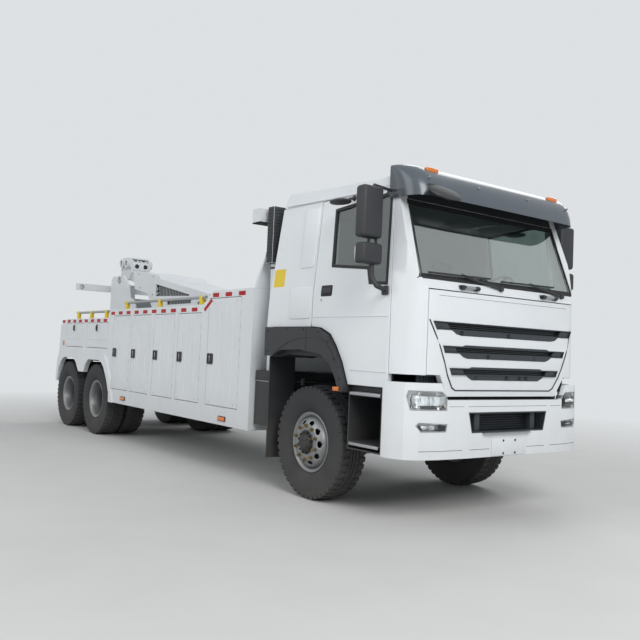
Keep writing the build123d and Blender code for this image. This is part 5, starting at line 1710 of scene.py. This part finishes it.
# %% Tread of the decks
# columns: rear x, front x, top z
DECKS = ((-7.42, -5.44, 1.865), (-5.34, -2.30, 1.990), (-1.98, -1.22, 2.148))
TREAD_HIGH, TREAD_LONG, TREAD_NARROW = 0.003, 0.016, 0.005
bm = bmesh.new()
for rear, front, top in DECKS:
    for i in range(int((front - rear) / 0.045)):
        for j in range(11):
            place = at(rear + 0.045 * (i + 0.5), 0.56 + 0.048 * j, top + TREAD_HIGH / 2)
            half = (TREAD_LONG, TREAD_NARROW) if (i + j) % 2 else (TREAD_NARROW, TREAD_LONG)
            bmesh.ops.create_cone(bm, segments=4, radius1=1, radius2=0, depth=TREAD_HIGH,
                                  matrix=Matrix.Translation(place)
                                  @ Matrix.Diagonal((*half, 1, 1)))
both_sides(bm)
make_piece("deck_tread", bm, ALUMINIUM, "chassis", smooth=20)


# %% [markdown]
# ## Light bar
# The light bar on the headboard is a pale housing with clear lenses between dark
# seams. Its two ends have an amber lens towards the rear and a clear one to the
# front.

# %% Light bar
bm = bmesh.new()
for i in range(10):
    y = -1.05 + i * 2.1 / 9
    boxed(bm, (-1.203, -1.042), (y - 0.004, y + 0.004), (2.878, 3.0425), 0.001, 1)
boxed(bm, (-1.203, -1.042), (-1.2, 1.2), (2.877, 2.892), 0.002)
make_piece("light_bar_seams", bm, SEAL, "chassis")
bm = bmesh.new()
for i in range(9):
    y = -1.05 + (i + 0.5) * 2.1 / 9
    for low_x, high_x in ((-1.2035, -1.1985), (-1.0465, -1.0415)):
        boxed(bm, (low_x, high_x), (y - 0.100, y + 0.100), (2.912, 3.018), 0.002, 3)
for y in (-1.125, 1.125):
    boxed(bm, (-1.0435, -1.0385), (y - 0.058, y + 0.058), (2.912, 3.018), 0.002, 3)
make_piece("light_bar_lenses", bm, WHITE_TAPE, "chassis")
bm = bmesh.new()
for y in (-1.125, 1.125):
    boxed(bm, (-1.2065, -1.2015), (y - 0.058, y + 0.058), (2.912, 3.018), 0.002, 3)
make_piece("light_bar_ambers", bm, AMBER, "chassis")

# %% [markdown]
# ## Headboard mesh
# Galvanised steel wire, 4.4 mm thick, is welded into a grid that fills the
# headboard.

# %% Headboard mesh
bm = bmesh.new()
for i in range(41):
    y = -0.82 + 1.64 * i / 40
    add_rod(bm, at(-1.1215, y, 2.25), at(-1.1215, y, 2.79), 0.0022, segments=6)
for i in range(14):
    z = 2.26 + 0.52 * i / 13
    add_rod(bm, at(-1.1255, -0.83, z), at(-1.1255, 0.83, z), 0.0022, segments=6)
make_piece("headboard_mesh", bm, ZINC, "chassis")

# %% [markdown]
# ## Air intake
# The engine breathes through a black moulded duct behind the cab. Its mouth near
# the roof has tilted louvres that keep the rain out, and two clamps hold it.

# %% Intake duct
bm = bmesh.new()
boxed(bm, (-0.9875, -0.8625), (-1.1325, -0.9475), (2.418, 3.052), 0.012, 3)
boxed(bm, (-1.1055, -0.9575), (-1.0625, -1.0175), (2.498, 2.562), 0.003)
for i in range(15):
    z = 2.50 + i * 0.036
    boxed(bm, (-0.865, -0.858), (-1.120, -0.960), (z, z + 0.014), 0.002,
          turn=Matrix.Rotation(radians(14), 4, "Y"))
    boxed(bm, (-0.975, -0.875), (-1.138, -1.130), (z, z + 0.014), 0.002,
          turn=Matrix.Rotation(radians(14), 4, "X"))
for z in (1.62, 2.36):
    boxed(bm, (-0.966, -0.884), (-1.086, -0.994), (z, z + 0.022), 0.004)
make_piece("intake_duct", bm, MOULDED, "chassis")


# %% [markdown]
# ## Boom
# The boom's side openings are filled with zinc-grey upright slats before a dark
# back, which is painted shade for the inside of the housing. The openings narrow
# towards the front, so each slat is cut to its place.
# Bolt heads and a round cover mark where the housing's plates are joined.

# %% Boom louvres
# columns: (x, low z, high z) at the rear end, the same at the front end
LOUVRES = (((-5.480, 2.270, 2.470), (-4.250, 2.232, 2.250)),
           ((-5.050, 2.115, 2.185), (-4.180, 2.115, 2.175)))
SLAT_PITCH, FIRST_SLAT, LAST_GAP = 0.055, 0.075, 0.03
shade_backs, slats = bmesh.new(), bmesh.new()
for (rear, low_a, high_a), (front, low_b, high_b) in LOUVRES:
    # Painted shade: a dark back behind each opening stands for the shade inside the housing.
    add_prism(shade_backs, [(rear - 0.02, low_a - 0.015), (front + 0.02, low_b - 0.015),
                      (front + 0.02, high_b + 0.01), (rear - 0.02, high_a + 0.015)],
              along_y, 0.380, 0.390)
    for i in range(ceil((front - rear - FIRST_SLAT - LAST_GAP) / SLAT_PITCH)):
        x = rear + FIRST_SLAT + SLAT_PITCH * i
        share = (x - rear) / (front - rear)
        low = low_a + (low_b - low_a) * share
        high = high_a + (high_b - high_a) * share
        if high - low > 0.035:
            boxed(slats, (x - 0.009, x + 0.009), (0.392, 0.402), (low + 0.001, high - 0.006),
                  0.002)
both_sides(shade_backs)
both_sides(slats)
make_piece("boom_louvre_backs", shade_backs, SEAL, "boom_housing")
make_piece("boom_louvre_slats", slats, ZINC, "boom_housing")

bm = bmesh.new()
for z in (2.315, 2.385):
    add_rod(bm, at(-5.435, 0.399, z), at(-5.435, 0.428, z), 0.026, segments=24)
for x, z in ((-3.95, 2.12), (-4.05, 1.99), (-5.60, 2.60), (-5.60, 2.30), (-6.20, 2.68),
             (-6.12, 2.44), (-5.42, 2.05)):
    add_rod(bm, at(x, 0.429, z), at(x, 0.439, z), 0.014, segments=6)
add_rod(bm, at(-3.75, 0.488, 2.06), at(-3.75, 0.496, 2.06), 0.052, segments=32)
both_sides(bm)
make_piece("boom_bolts", bm, ALUMINIUM, "boom_housing")

# %% [markdown]
# ## Boom head
# The head's two pins are hollow tubes with bolts round them, and a dark disc at each
# end is painted shade inside the tube. On its front a plate carries two round rope
# guides, and a dark disc in each is painted shade inside the guide.

# %% Boom head
bm = bmesh.new()
# Painted shade: a dark disc at the end of each hollow pin.
for x, z in ((-7.520, 2.975), (-7.290, 2.960)):
    add_rod(bm, at(x, 0.186, z), at(x, 0.1915, z), 0.0495, segments=28)
both_sides(bm)
make_piece("head_pin_bores", bm, SEAL, "inner_boom")
bm = bmesh.new()
for x, z in ((-7.405, 2.86), (-7.60, 2.86), (-7.21, 2.86), (-7.405, 3.04)):
    add_rod(bm, at(x, 0.187, z), at(x, 0.199, z), 0.014, segments=6)
both_sides(bm)
make_piece("head_bolts", bm, ZINC, "inner_boom")
plate, guide_shade = bmesh.new(), bmesh.new()
boxed(plate, (-7.170, -7.162), (-0.158, 0.158), (2.832, 2.984), 0.002)
for y in (-0.083, 0.083):
    add_rod(plate, at(-7.163, y, 2.908), at(-7.150, y, 2.908), 0.054, segments=32)
    # Painted shade: a dark disc inside each rope guide.
    add_rod(guide_shade, at(-7.152, y, 2.908), at(-7.149, y, 2.908), 0.0415, segments=32)
make_piece("head_guide_plate", plate, BODY_WHITE, "inner_boom")
make_piece("head_rope_guides", guide_shade, SEAL, "inner_boom")

# %% [markdown]
# ## Column
# The column's plates have a steel collar round each hole and two rows of bolts at
# the foot.

# %% Column collars and bolts
bm = bmesh.new()
add_ring(bm, circle(-7.09, 2.62, 0.062, 32), 0.024, along_y, 0.424, 0.436)
for x in (-7.42, -7.20, -6.95, -6.70, -6.45):
    for z in (1.16, 1.26):
        add_rod(bm, at(x, 0.424, z), at(x, 0.438, z), 0.016, segments=6)
both_sides(bm)
make_piece("column_collars", bm, ZINC, "chassis")

# %% [markdown]
# ## Lift cylinders
# A barrel ends in a gland that the rod slides through, and has a second collar near
# its foot. A steel pipe brings oil along it. All of it is placed along the line
# from the barrel's lower pin to the boom's pin.

# %% Cylinder glands and pipes
bm = bmesh.new()
lift_low, lift_high = Vector(at(-6.080, 0.29, 1.420)), Vector(at(-4.950, 0.29, 1.860))
way = (lift_high - lift_low).normalized()
across = Vector((-way.z, 0, way.x))
for share, radius, length in ((1.0, 0.094, 0.045), (0.16, 0.092, 0.03)):
    start = lift_low + way * share
    add_rod(bm, start - way * length, start, radius, segments=32)
both_sides(bm)
make_piece("cylinder_glands", bm, BODY_WHITE, "lift_barrels")
bm = bmesh.new()
pipe = [lift_low + way * 0.22 + across * 0.08, lift_low + way * 0.22 + across * 0.112,
        lift_low + way * 0.90 + across * 0.112, lift_low + way * 0.90 + across * 0.08]
add_path(bm, pipe, 0.009)
both_sides(bm)
make_piece("cylinder_pipes", bm, ZINC, "lift_barrels")

# %% [markdown]
# ## Crossbar
# The crossbar swivels on a ring of bolts, and steel collars line the holes at its
# two ends.

# %% Crossbar collars and bolts
bm = bmesh.new()
for y, z in circle(0, 2.5, 0.085, 8):
    add_rod(bm, at(-7.996, y, z), at(-8.006, y, z), 0.011, segments=6)
for side in (-1, 1):
    for x in (-8.001, -7.876):
        add_ring(bm, circle(side * 0.84, 2.5, 0.044, 28), 0.0135, along_x, x, x + 0.007)
make_piece("crossbar_collars", bm, ZINC, "crossbar")


# %% [markdown]
# ## Under the body
# Steel straps hold the air tanks, and the battery boxes are black with a lid and
# two latches.

# %% Straps, lids and latches
bm = bmesh.new()
for tank in (-1.90, -2.75):
    for dx in (-0.19, 0.19):
        add_ring(bm, circle(0.36, 0.62, 0.1215, 40), 0.003, along_x, tank + dx - 0.02,
                 tank + dx + 0.02)
both_sides(bm)
make_piece("tank_straps", bm, CHASSIS, "chassis")
bm = bmesh.new()
boxed(bm, (-1.0625, -0.7675), (0.5575, 1.1525), (0.6375, 1.118), 0.006)
boxed(bm, (-1.0655, -0.7645), (0.5545, 1.1555), (1.121, 1.2335), 0.010)
both_sides(bm)
make_piece("box_covers", bm, MOULDED, "chassis")
bm = bmesh.new()
for y in (0.72, 0.99):
    boxed(bm, (-0.768, -0.756), (y - 0.02, y + 0.02), (1.08, 1.16), 0.004)
both_sides(bm)
make_piece("box_latches", bm, ZINC, "chassis")
